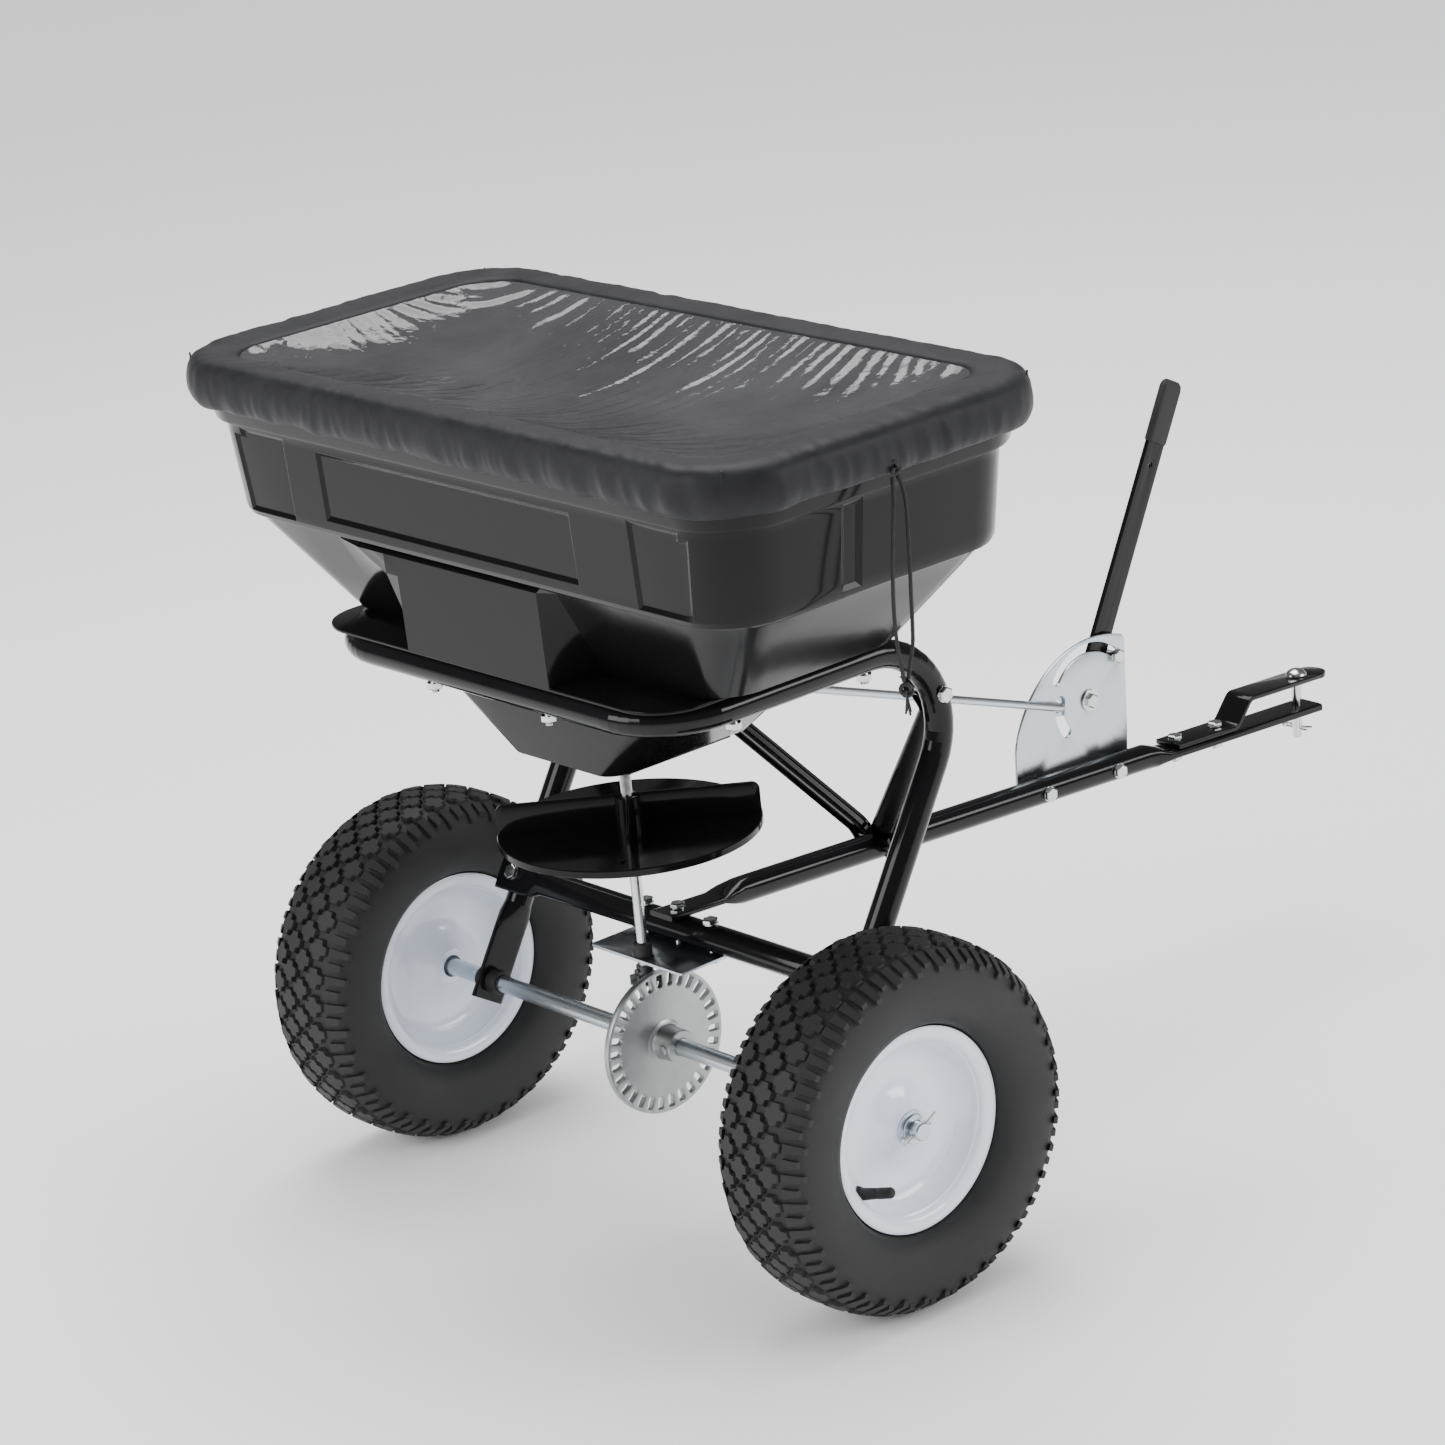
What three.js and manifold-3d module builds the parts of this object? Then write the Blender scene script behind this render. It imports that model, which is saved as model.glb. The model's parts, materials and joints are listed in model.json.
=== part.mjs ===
// Tow-behind broadcast spreader: hopper on a bent tube frame, ground-driven spinner, lever-worked gate.
// Millimetres. +X is forward (towards the hitch), +Y is left, +Z is up, the tyres stand on Z = 0.
import * as THREE from 'three';
import { mergeVertices } from 'three/addons/utils/BufferGeometryUtils.js';
import Module from 'manifold-3d';

const wasm = await Module();
wasm.setup();

// ---------------------------------------------------------------- driving dimensions
const GAP = 0.3; // clearance kept between pieces that touch
const TUBE_D = 25.4; // one-inch frame tube
const TUBE_WALL = 2.5;
const FLAT_T = 5; // a tube end pressed flat
const FLAT_W = 36;
const STRIP_T = 5; // hitch strap
const BOLT_D = 8;

const TYRE_OD = 330; // 13 inch tyre on a 6 inch rim
const TYRE_W = 105;
const TYRE_WALL = 9;
const TYRE_SIDES = 20; // facets round a wheel
const RIM_SIDES = 16;
const RIM_SEAT_D = 152;
const RIM_FLANGE_D = 180;
const RIM_W = 68; // over both flanges
const RIM_T = 3;
const TRACK = 624; // between the tyre centre planes
const HUB_D = 32;
const HUB_LENGTH = 50;
const AXLE_D = 16;
const AXLE_LENGTH = 704;
const COTTER_D = 3;
const COTTER_INSET = 6; // from the axle end to the cotter

const LEG_LEAN = THREE.MathUtils.degToRad(31.5); // legs lean forward from the axle
const FRAME_HALF = 227; // tube centre line, each side
const RING_Z = 537; // hopper ring centre line
const RING_REAR = -136;
const RING_CORNER_R = 66;
const LEG_BEND_R = 75;
const LEG_FLAT_BELOW = 19; // pressed end below the axle
const LEG_FLAT_ABOVE = 60; // and above it
const CROSS_ALONG = 100.6; // cross tube, up the leg from the axle
const CROSS_BEHIND = 10; // and behind the leg's centre line
const BUSHING_D = 23;

const HOPPER_X = 12; // hopper centre
const WALL = 3.5;
const LEDGE_T = 3;
const RIM_TOP = { x: 182, y: 371, z: 779, r: 66 }; // half lengths at each level
const COLLAR = { x: 175, y: 363, z: 728, r: 63 };
const BAND = { x: 170, y: 354, z: 728, r: 58 };
const SHOULDER = { x: 164, y: 342, z: 642, r: 56 };
const SLOPE_TOP = { x: 157, y: 335, z: 642, r: 52 };
const SLOPE_END = { x: 108, y: 256, z: 552, r: 44 };
const FUNNEL_TOP = { x: 106, y: 203, r: 34 };
const FUNNEL_END = { x: 83, y: 70, z: 444, r: 18 };
const SHIELD_HALF = 108; // rear panel that runs down over the slope
const LEDGE_HALF = 238;
const LEDGE_REAR = -146;
const LEDGE_FRONT = 112;

const PORT = { x: 28, half_x: 6.5, y: 26, half_y: 14 }; // two metering ports
const GATE_HALF = 50;
const GATE_T = 3;
const GATE_TRAVEL = 14; // forward, to shut the ports
const GATE_PIN_X = 205; // rod eye on the gate arm
const ROD_Y = 8;
const ROD_D = 8;

const SHAFT_D = 10;
const SHAFT_BOTTOM = 214;
const SHAFT_TOP = 512;
const IMPELLER_R = 117.5;
const IMPELLER_Z = 367.5;
const IMPELLER_T = 3;
const FIN_H = 29;
const FIN_T = 3;
const FIN_ANGLE = THREE.MathUtils.degToRad(-40);
const AGITATOR_Z = 478;

const GEAR_R = 66.3;
const GEAR_T = 6;
const GEAR_TEETH = 30; // radial slots
const GEAR_SLOT_IN = 50.5;
const GEAR_SLOT_OUT = 63;
const GEAR_SLOT_W = 6.4;
const GEAR_FACE_Y = -12.6; // face towards the pinion
const PINION_TEETH = 6;
const PINION_TIP_R = 14.4;
const PINION_ROOT_R = 9;
const PINION_H = 9;

const PLATE_T = 2.6; // shaft bearing plate
const PLATE_HALF = 62;
const PLATE_REAR = -10;
const PLATE_FRONT = 60;
const PLATE_BOLT_Y = 44;

const DRAWBAR_SLOPE = 0.0541; // nose down, radians
const DRAWBAR_ROUND = [46, 612]; // round part of the tongue
const DRAWBAR_TIP = 828;
const TONGUE_FLAT = [-6, 2]; // pressed front end, under and over the centre line
const TONGUE_FLAT_HALF = 17;
const TONGUE_END = 735; // from here on the pressed tongue is a little thinner
const TONGUE_STEP = 0.3;
const HITCH_GAP = 25.5;
const STRAP_REAR = 626;
const STRAP_TIP = 844;
const STRAP_W = 32;
const HITCH_PIN_U = 809;
const HITCH_PIN_D = 9.5;
const BRACE_U = 246; // brace bolt along the tongue
const BRACE_W = 20;
const BRACE_T = 6;

const PIVOT = { u: 535, v: 68 }; // lever pivot along and above the tongue centre line
const CONTROL_T = 3;
const CONTROL = { rear: 436, front: 584, bottom: -9, arc_u: 545, arc_v: 18, arc_r: 111 };
const STOP_R = 52;
const STOP_ANGLE = THREE.MathUtils.degToRad(43.5);
const SLOT_END_ANGLE = THREE.MathUtils.degToRad(146);
const PIN_PLAY = 2.3; // round the rod's bent end, in the lever arm and in the plate's slot
const ROD_PIN_R = 39.6;
const ROD_PIN_ANGLE = THREE.MathUtils.degToRad(176.7);
const ROD_SLOT_ANGLES = [THREE.MathUtils.degToRad(170), THREE.MathUtils.degToRad(216)];
const LEVER_ANGLE = THREE.MathUtils.degToRad(65);
const LEVER_LENGTH = 310;
const LEVER_W = 22;
const LEVER_T = 5;
const GRIP_LENGTH = 56;

const HEM = { out: 8, up: 7, inner_x: 154, inner_y: 328, inner_r: 40, drop: 42 };
const WINDOW_T = 2.4;
const CORD_D = 4;

// ---------------------------------------------------------------- solids
const V = (x, y, z) => new THREE.Vector3(x, y, z);

function solid(geometry) {
  const bare = geometry.clone();
  for (const name of Object.keys(bare.attributes)) if (name !== 'position') bare.deleteAttribute(name);
  const merged = mergeVertices(bare, 1e-3);
  const points = merged.getAttribute('position').array;
  const index = [...merged.index.array];
  const triangles = [];
  let volume = 0;
  const corner = (i) => V(points[3 * i], points[3 * i + 1], points[3 * i + 2]);
  for (let i = 0; i < index.length; i += 3) {
    const [a, b, c] = index.slice(i, i + 3);
    if (a === b || b === c || c === a) continue;
    triangles.push([a, b, c]);
    volume += corner(a).dot(corner(b).cross(corner(c)));
  }
  const triVerts = new Uint32Array((volume < 0 ? triangles.map(([a, b, c]) => [a, c, b]) : triangles).flat());
  return new wasm.Manifold(new wasm.Mesh({ numProp: 3, vertProperties: new Float32Array(points), triVerts }));
}

function geometryOf(shape) {
  const mesh = shape.getMesh();
  const geometry = new THREE.BufferGeometry();
  geometry.setAttribute('position', new THREE.BufferAttribute(new Float32Array(mesh.vertProperties), 3));
  geometry.setIndex(new THREE.BufferAttribute(new Uint32Array(mesh.triVerts), 1));
  return geometry;
}

const join = (...shapes) => shapes.reduce((sum, shape) => sum.add(shape));
const cut = (shape, ...tools) => tools.reduce((rest, tool) => rest.subtract(tool), shape);

function turned(geometry, axis) {
  // a cylinder made along Y, laid along the given axis
  const turn = new THREE.Quaternion().setFromUnitVectors(V(0, 1, 0), axis.clone().normalize());
  return geometry.applyQuaternion(turn);
}

function rod(from, to, radius, sides = 12) {
  const axis = to.clone().sub(from);
  const middle = from.clone().add(to).multiplyScalar(0.5);
  const geometry = turned(new THREE.CylinderGeometry(radius, radius, axis.length(), sides), axis);
  return solid(geometry.translate(middle.x, middle.y, middle.z));
}

function box(x0, x1, y0, y1, z0, z1) {
  const geometry = new THREE.BoxGeometry(x1 - x0, y1 - y0, z1 - z0);
  return solid(geometry.translate((x0 + x1) / 2, (y0 + y1) / 2, (z0 + z1) / 2));
}

// A route of straight runs and rounded corners, sampled only where it bends.
class Route extends THREE.Curve {
  constructor(points, radius, side = null, bendSteps = 5) {
    super();
    this.side = side;
    this.stations = [];
    const put = (point, tangent) => this.stations.push({ point, tangent });
    points.forEach((point, i) => {
      const before = i > 0 ? point.clone().sub(points[i - 1]).normalize() : null;
      const after = i < points.length - 1 ? points[i + 1].clone().sub(point).normalize() : null;
      if (!before || !after) return put(point, before ?? after);
      const angle = before.angleTo(after);
      if (angle < 0.01) return;
      const reach = radius * Math.tan(angle / 2);
      const inward = after.clone().sub(before).normalize();
      const centre = point.clone().addScaledVector(inward, radius / Math.cos(angle / 2));
      const start = point.clone().addScaledVector(before, -reach);
      const normal = before.clone().cross(after).normalize();
      for (let k = 0; k <= bendSteps; k += 1) {
        const turn = (angle * k) / bendSteps;
        const spoke = start.clone().sub(centre).applyAxisAngle(normal, turn);
        put(centre.clone().add(spoke), before.clone().applyAxisAngle(normal, turn));
      }
    });
    this.steps = this.stations.length - 1;
  }
  station(u) { return this.stations[Math.round(u * this.steps)]; }
  getPoint(u, target = new THREE.Vector3()) { return target.copy(this.station(u).point); }
  getPointAt(u, target = new THREE.Vector3()) { return target.copy(this.station(u).point); }
  getTangentAt(u, target = new THREE.Vector3()) { return target.copy(this.station(u).tangent); }
  computeFrenetFrames(steps, closed) {
    if (!this.side) return super.computeFrenetFrames(steps, closed);
    const tangents = this.stations.map((station) => station.tangent.clone());
    const normals = tangents.map(() => this.side.clone().normalize());
    return { tangents, normals, binormals: tangents.map((t, i) => t.clone().cross(normals[i])) };
  }
}

function swept(section, route) {
  const options = { steps: route.steps, bevelEnabled: false, extrudePath: route };
  return solid(new THREE.ExtrudeGeometry(section, options));
}

function roundSection(radius, sides, hole = 0) {
  const ring = (r) => Array.from({ length: sides }, (_, i) => {
    const turn = (2 * Math.PI * i) / sides;
    return new THREE.Vector2(r * Math.cos(turn), r * Math.sin(turn));
  });
  const shape = new THREE.Shape(ring(radius));
  if (hole > 0) shape.holes.push(new THREE.Path(ring(hole)));
  return shape;
}

function flatSection(width, thickness) {
  const [w, t] = [width / 2, thickness / 2];
  return new THREE.Shape([[-w, -t], [w, -t], [w, t], [-w, t]].map(([x, y]) => new THREE.Vector2(x, y)));
}

const pipe = (route, diameter, wall, sides = 10) =>
  swept(roundSection(diameter / 2, sides, diameter / 2 - wall), route);
const wire = (route, diameter, sides = 8) => swept(roundSection(diameter / 2, sides), route);

// A hexagon-headed bolt with its nut, from under the head to under the nut.
function bolt(at, axis, grip, { head = 7.4, headH = 5, nutH = 6, tail = 3, washer = 0 } = {}) {
  const along = axis.clone().normalize();
  const on = (distance) => at.clone().addScaledVector(along, distance);
  const parts = [rod(on(-headH), on(0), head, 6), rod(on(-0.1), on(grip + nutH + tail), BOLT_D / 2, 6)];
  parts.push(rod(on(grip), on(grip + nutH), head, 6));
  if (washer) parts.push(rod(on(-1.6), on(0), washer, 16));
  return join(...parts);
}

const boltHole = (at, axis, reach) =>
  rod(at.clone().addScaledVector(axis, -reach), at.clone().addScaledVector(axis, reach), BOLT_D / 2 + 0.8, 8);

// ---------------------------------------------------------------- materials and the tree
const finish = (color, roughness, metalness) =>
  new THREE.MeshStandardMaterial({ color, roughness, metalness });
const blackPaint = () => finish(0x08090a, 0.22, 0.3);
const blackPlastic = () => finish(0x0b0c0d, 0.25, 0);
const zinc = () => finish(0xaab4ba, 0.32, 1);
const steel = () => finish(0xc4c9cc, 0.25, 1);
const rubber = () => finish(0x131313, 0.85, 0);

const spreader = new THREE.Group();
const chassis = new THREE.Group(); // everything measured from above the axle
const drawbar = new THREE.Group(); // along and square to the sloping tongue
spreader.add(chassis);
chassis.add(drawbar);

function add(group, name, shape, material) {
  const mesh = new THREE.Mesh(geometryOf(shape), material);
  mesh.name = name;
  group.add(mesh);
  return mesh;
}

// ---------------------------------------------------------------- places worked out from the sizes
const WHEEL_R = TYRE_OD / 2;
const tubeR = TUBE_D / 2;
const legDir = V(Math.sin(LEG_LEAN), 0, Math.cos(LEG_LEAN));
const legOut = V(Math.cos(LEG_LEAN), 0, -Math.sin(LEG_LEAN)); // square to the leg, forward
const axleAt = V(0, 0, WHEEL_R);
const onLeg = (along, out, y) =>
  axleAt.clone().addScaledVector(legDir, along).addScaledVector(legOut, out).setY(y);
const crossAt = onLeg(CROSS_ALONG, -CROSS_BEHIND, 0);
const legReach = (RING_Z - WHEEL_R) / Math.cos(LEG_LEAN);
const legCorner = onLeg(legReach, 0, 0);
const bendBack = LEG_BEND_R * Math.tan((Math.PI / 2 + LEG_LEAN) / 2);
const bendCentre = V(legCorner.x - bendBack, 0, RING_Z - LEG_BEND_R);
const bendTurn = 0.32; // brace bolt, up the leg bend from level
const bendReach = V(LEG_BEND_R * Math.cos(bendTurn), 0, LEG_BEND_R * Math.sin(bendTurn));
const bendBolt = bendCentre.clone().add(bendReach);
const drawbarAt = V(crossAt.x, 0, crossAt.z + tubeR + FLAT_T / 2 + GAP);
const drawDir = V(Math.cos(DRAWBAR_SLOPE), 0, -Math.sin(DRAWBAR_SLOPE));
const drawUp = V(Math.sin(DRAWBAR_SLOPE), 0, Math.cos(DRAWBAR_SLOPE));
const onDrawbar = (u, v) => drawbarAt.clone().addScaledVector(drawDir, u).addScaledVector(drawUp, v);
const strapTop = TONGUE_FLAT[1] + HITCH_GAP + STRIP_T;
const frontX = onDrawbar(STRAP_TIP, strapTop).x;
const rearX = HOPPER_X - RIM_TOP.x - HEM.out;
const gateTop = FUNNEL_END.z - 1.5;
const gateMid = gateTop - GATE_T / 2;
chassis.position.set(-(frontX + rearX) / 2, 0, 0);
drawbar.position.copy(drawbarAt);
drawbar.rotation.y = DRAWBAR_SLOPE;
const sides = [['left', 1], ['right', -1]];

// ---------------------------------------------------------------- main frame tube
function frameTube() {
  const leg = (side) =>
    [onLeg(LEG_FLAT_ABOVE, 0, side * FRAME_HALF), legCorner.clone().setY(side * FRAME_HALF)];
  const corner = (side) => V(RING_REAR, side * FRAME_HALF, RING_Z);
  // the leg bend and the ring corners have their own radii, so the tube is three routes that share ends
  const meet = (side) => V(-20, side * FRAME_HALF, RING_Z);
  const ring = new Route([meet(1), corner(1), corner(-1), meet(-1)], RING_CORNER_R);
  const parts = [pipe(ring, TUBE_D, TUBE_WALL)];
  for (const [, side] of sides) {
    const overlap = meet(side).add(V(-0.5, 0, 0));
    parts.push(pipe(new Route([...leg(side), overlap], LEG_BEND_R, null, 7), TUBE_D, TUBE_WALL));
    const flat = new Route([onLeg(-LEG_FLAT_BELOW, 0, side * FRAME_HALF),
      onLeg(LEG_FLAT_ABOVE + FLAT_W / 3, 0, side * FRAME_HALF)], 1, legOut);
    parts.push(swept(flatSection(FLAT_W, FLAT_T), flat));
  }
  let tube = join(...parts);
  for (const [, side] of sides) {
    const axle = V(0, side * FRAME_HALF, WHEEL_R);
    const eye = rod(axle.clone().add(V(0, -9, 0)), axle.clone().add(V(0, 9, 0)), BUSHING_D / 2 + 0.5, 20);
    tube = cut(tube, eye);
    tube = cut(tube, boltHole(onLeg(CROSS_ALONG, 0, side * FRAME_HALF), legOut, 20));
    tube = cut(tube, boltHole(bendBolt.clone().setY(side * FRAME_HALF), V(0, 1, 0), 20));
  }
  return cut(tube, ...hopperBolts().map((at) => boltHole(at, V(0, 0, 1), 20)));
}

// bolts down through the hopper's ledge and the ring
function hopperBolts() {
  const pairs = [[RING_REAR, 78], [-60, FRAME_HALF], [88, FRAME_HALF]];
  return pairs.flatMap(([x, y]) => [V(x, y, RING_Z), V(x, -y, RING_Z)]);
}

// ---------------------------------------------------------------- cross tube under the hopper
function crossTube() {
  const end = FRAME_HALF - 30;
  const straight = new Route([crossAt.clone().setY(-end), crossAt.clone().setY(end)], 1);
  const parts = [pipe(straight, TUBE_D, TUBE_WALL)];
  const out = -(tubeR + GAP + FLAT_T / 2);
  for (const [, side] of sides) {
    const near = onLeg(CROSS_ALONG, out, side * (end - 12));
    const far = onLeg(CROSS_ALONG, out, side * (FRAME_HALF + 19));
    parts.push(swept(flatSection(FLAT_W, FLAT_T), new Route([near, far], 1, legDir)));
  }
  let tube = join(...parts);
  for (const [, side] of sides) {
    tube = cut(tube, boltHole(onLeg(CROSS_ALONG, out, side * FRAME_HALF), legOut, 12));
    tube = cut(tube, boltHole(crossAt.clone().setY(side * PLATE_BOLT_Y), V(0, 0, 1), 20));
  }
  return cut(tube, boltHole(drawbarAt, drawUp, 45));
}

// ---------------------------------------------------------------- bearing plate and bushings
const plateTop = crossAt.z - tubeR - GAP;
function bearingPlate() {
  const sheet = box(PLATE_REAR, PLATE_FRONT, -PLATE_HALF, PLATE_HALF, plateTop - PLATE_T, plateTop);
  const holes = sides.map(([, side]) => boltHole(V(crossAt.x, side * PLATE_BOLT_Y, plateTop), V(0, 0, 1), 9));
  const seat = rod(V(0, 0, plateTop - 6), V(0, 0, plateTop + 3), 6.8, 16);
  return cut(sheet, ...holes, boltHole(drawbarAt, drawUp, 50), seat);
}

function shaftBushing() {
  const barrel = rod(V(0, 0, plateTop + GAP), V(0, 0, plateTop + 13), 8, 20);
  const neck = rod(V(0, 0, plateTop - PLATE_T - 3), V(0, 0, plateTop + 1), 6.2, 20);
  return cut(join(barrel, neck), rod(V(0, 0, plateTop - 9), V(0, 0, plateTop + 20), SHAFT_D / 2 + 0.5, 16));
}

function axleBushing(side) {
  const at = (y) => V(0, side * y, WHEEL_R);
  const faceY = FRAME_HALF + FLAT_T / 2;
  const barrel = rod(at(FRAME_HALF - 14), at(FRAME_HALF + 13), BUSHING_D / 2, 20);
  const flange = rod(at(faceY + GAP), at(faceY + 3.5), 15.5, 20);
  return cut(join(barrel, flange), rod(at(FRAME_HALF - 20), at(FRAME_HALF + 20), AXLE_D / 2 + 0.4, 20));
}

// ---------------------------------------------------------------- braces from the tongue to the leg bends
const braceFoot = onDrawbar(BRACE_U, 0);
const braceRun = bendBolt.clone().sub(braceFoot).setY(0);
const braceDir = braceRun.clone().normalize();
function brace(side) {
  const lowY = side * (tubeR + GAP + BRACE_T / 2);
  const highY = side * (FRAME_HALF - tubeR - GAP - BRACE_T / 2);
  const on = (distance, y) => braceFoot.clone().addScaledVector(braceDir, distance).setY(y);
  const length = braceRun.length();
  const route = new Route([on(-13, lowY), on(22, lowY), on(length - 26, highY), on(length + 17, highY)],
    14, braceDir.clone().cross(V(0, 1, 0)), 4);
  return cut(swept(flatSection(BRACE_W, BRACE_T), route), boltHole(on(0, lowY), V(0, 1, 0), 10),
    boltHole(on(length, highY), V(0, 1, 0), 10));
}

// ---------------------------------------------------------------- hopper
function outline({ x, y, r }) {
  const shape = new THREE.Shape();
  shape.moveTo(x, -(y - r));
  shape.absarc(x - r, y - r, r, 0, Math.PI / 2);
  shape.absarc(-(x - r), y - r, r, Math.PI / 2, Math.PI);
  shape.absarc(-(x - r), -(y - r), r, Math.PI, 1.5 * Math.PI);
  shape.absarc(x - r, -(y - r), r, 1.5 * Math.PI, 2 * Math.PI);
  return shape;
}

// A block between two rounded rectangles, made as a prism of the upper one and drawn in to the lower.
function block(upper, lower, z0 = lower.z, z1 = upper.z) {
  const options = { depth: z1 - z0, bevelEnabled: false, curveSegments: 5 };
  const geometry = new THREE.ExtrudeGeometry(outline(upper), options);
  const position = geometry.getAttribute('position');
  for (let i = 0; i < position.count; i += 1) {
    if (position.getZ(i) > 1e-6) continue;
    for (const [get, set, a, b] of [['getX', 'setX', upper.x, lower.x], ['getY', 'setY', upper.y, lower.y]]) {
      const value = position[get](i);
      const core = a - upper.r;
      const past = Math.abs(value) - core; // how far round the corner this point is
      const flat = (b - lower.r) * Math.min(Math.abs(value) / core, 1);
      const scaled = flat + Math.max(past, 0) * (lower.r / upper.r);
      position[set](i, Math.sign(value) * scaled);
    }
  }
  return solid(geometry.translate(HOPPER_X, 0, z0));
}

const inset = (level, by) => ({ x: level.x - by, y: level.y - by, z: level.z, r: Math.max(level.r - by, 4) });
function levelBetween(a, b, z) {
  const t = (z - a.z) / (b.z - a.z);
  const mix = (key) => a[key] + (b[key] - a[key]) * t;
  return { x: mix('x'), y: mix('y'), z, r: mix('r') };
}

function hopper() {
  const shield = (grow) => {
    const x = HOPPER_X - SHOULDER.x;
    return box(x + grow + 1, HOPPER_X, -SHIELD_HALF + grow, SHIELD_HALF - grow,
      SLOPE_END.z + grow, SHOULDER.z + 12);
  };
  const ledgeZ = RING_Z + tubeR + GAP;
  const ledge = box(LEDGE_REAR, LEDGE_FRONT, -LEDGE_HALF, LEDGE_HALF, ledgeZ, ledgeZ + LEDGE_T);
  const funnelTop = { ...FUNNEL_TOP, z: SLOPE_END.z };
  const outer = join(block(RIM_TOP, COLLAR), block(BAND, SHOULDER), block(SLOPE_TOP, SLOPE_END),
    block(funnelTop, FUNNEL_END), shield(0), ledge);
  const w = WALL;
  const floorIn = { ...inset(FUNNEL_END, w), z: FUNNEL_END.z + w };
  const throat = { ...inset(funnelTop, w), z: SLOPE_END.z + w + 0.01 };
  const inner = join(
    block(inset({ ...RIM_TOP, z: RIM_TOP.z + 1 }, w), inset(levelBetween(RIM_TOP, COLLAR, COLLAR.z + w), w)),
    block(inset({ ...BAND, z: BAND.z + w + 0.01 }, w),
      inset(levelBetween(BAND, SHOULDER, SHOULDER.z + w), w)),
    block(inset({ ...SLOPE_TOP, z: SLOPE_TOP.z + w + 0.01 }, w),
      inset({ ...SLOPE_END, z: SLOPE_END.z + w }, w)),
    block(throat, floorIn), shield(w));
  const ports = sides.map(([, side]) => box(PORT.x - PORT.half_x, PORT.x + PORT.half_x,
    side * PORT.y - PORT.half_y, side * PORT.y + PORT.half_y, FUNNEL_END.z - 2, FUNNEL_END.z + 9));
  const shaft = rod(V(0, 0, FUNNEL_END.z - 5), V(0, 0, FUNNEL_END.z + 9), SHAFT_D / 2 + 1.5, 16);
  return cut(outer, inner, shaft, ...ports, ...hopperBolts().map((at) => boltHole(at, V(0, 0, 1), 24)));
}

// ---------------------------------------------------------------- metering gate, its guide and the link rod
function flowGate() {
  const z = [gateTop - GATE_T, gateTop];
  const slide = box(-36, 84, -GATE_HALF, GATE_HALF, ...z);
  const arm = box(80, GATE_PIN_X + 10, ROD_Y - 10, ROD_Y + 10, ...z);
  const ports = sides.map(([, side]) => box(PORT.x - PORT.half_x, PORT.x + PORT.half_x,
    side * PORT.y - PORT.half_y, side * PORT.y + PORT.half_y, z[0] - 1, z[1] + 1));
  const reach = SHAFT_D / 2;
  const slot = box(-GATE_TRAVEL - reach - 3, reach + 3, -reach - 1.2, reach + 1.2, z[0] - 1, z[1] + 1);
  const eye = rod(V(GATE_PIN_X, ROD_Y, z[0] - 1), V(GATE_PIN_X, ROD_Y, z[1] + 1), ROD_D / 2 + 0.9, 12);
  return cut(join(slide, arm), ...ports, slot, eye);
}

function gateGuide() {
  const under = gateTop - GATE_T - GAP - 0.2;
  const pan = box(-42, 76, -GATE_HALF - 8, GATE_HALF + 8, under - 2, under);
  const rails = sides.map(([, side]) => {
    const [a, b] = [side * (GATE_HALF + 0.6), side * (GATE_HALF + 8)].sort((p, q) => p - q);
    return box(-42, 76, a, b, under - 1, FUNNEL_END.z - GAP);
  });
  const ports = sides.map(([, side]) => box(PORT.x - PORT.half_x - 2, PORT.x + PORT.half_x + 2,
    side * PORT.y - PORT.half_y - 2, side * PORT.y + PORT.half_y + 2, under - 4, under + 1));
  const shaft = rod(V(0, 0, under - 5), V(0, 0, under + 5), SHAFT_D / 2 + 1.2, 16);
  return cut(join(pan, ...rails), ...ports, shaft);
}

const rodPinLocal = V(PIVOT.u + ROD_PIN_R * Math.cos(ROD_PIN_ANGLE), 0,
  PIVOT.v + ROD_PIN_R * Math.sin(ROD_PIN_ANGLE)); // drawbar axes
const rodPin = onDrawbar(rodPinLocal.x, rodPinLocal.z);
function linkRod() {
  const low = gateMid - GATE_T / 2 - 6;
  const route = new Route([V(GATE_PIN_X, ROD_Y, gateMid + 7), V(GATE_PIN_X, ROD_Y, low),
    rodPin.clone().setY(ROD_Y), rodPin.clone().setY(leverY(1) + 3.5)], 6, null, 5);
  return wire(route, ROD_D, 10);
}

// ---------------------------------------------------------------- spinner: shaft, pinion, impeller, agitator
function impeller() {
  const z = IMPELLER_Z;
  const disc = rod(V(0, 0, z - IMPELLER_T), V(0, 0, z), IMPELLER_R, 32);
  const skirt = cut(rod(V(0, 0, z - 7), V(0, 0, z - 0.5), IMPELLER_R, 32),
    rod(V(0, 0, z - 8), V(0, 0, z), IMPELLER_R - 3, 32));
  const hub = rod(V(0, 0, z - 7), V(0, 0, z + FIN_H - 2), 13, 20);
  const fins = [0, Math.PI / 2].map((turn) => {
    const wall = new THREE.Shape();
    const reach = IMPELLER_R - 1;
    wall.moveTo(-reach, 0);
    wall.lineTo(reach, 0);
    wall.absarc(reach - 6, FIN_H - 6, 6, 0, Math.PI / 2);
    wall.absarc(-reach + 6, FIN_H - 6, 6, Math.PI / 2, Math.PI);
    const options = { depth: FIN_T, bevelEnabled: false, curveSegments: 4 };
    const geometry = new THREE.ExtrudeGeometry(wall, options).translate(0, 0, -FIN_T / 2);
    return solid(geometry.rotateX(Math.PI / 2).rotateZ(FIN_ANGLE + turn).translate(0, 0, z - 1));
  });
  const bore = rod(V(0, 0, z - 20), V(0, 0, z + 50), SHAFT_D / 2 + GAP, 16);
  return cut(join(disc, skirt, hub, ...fins), bore);
}

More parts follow.
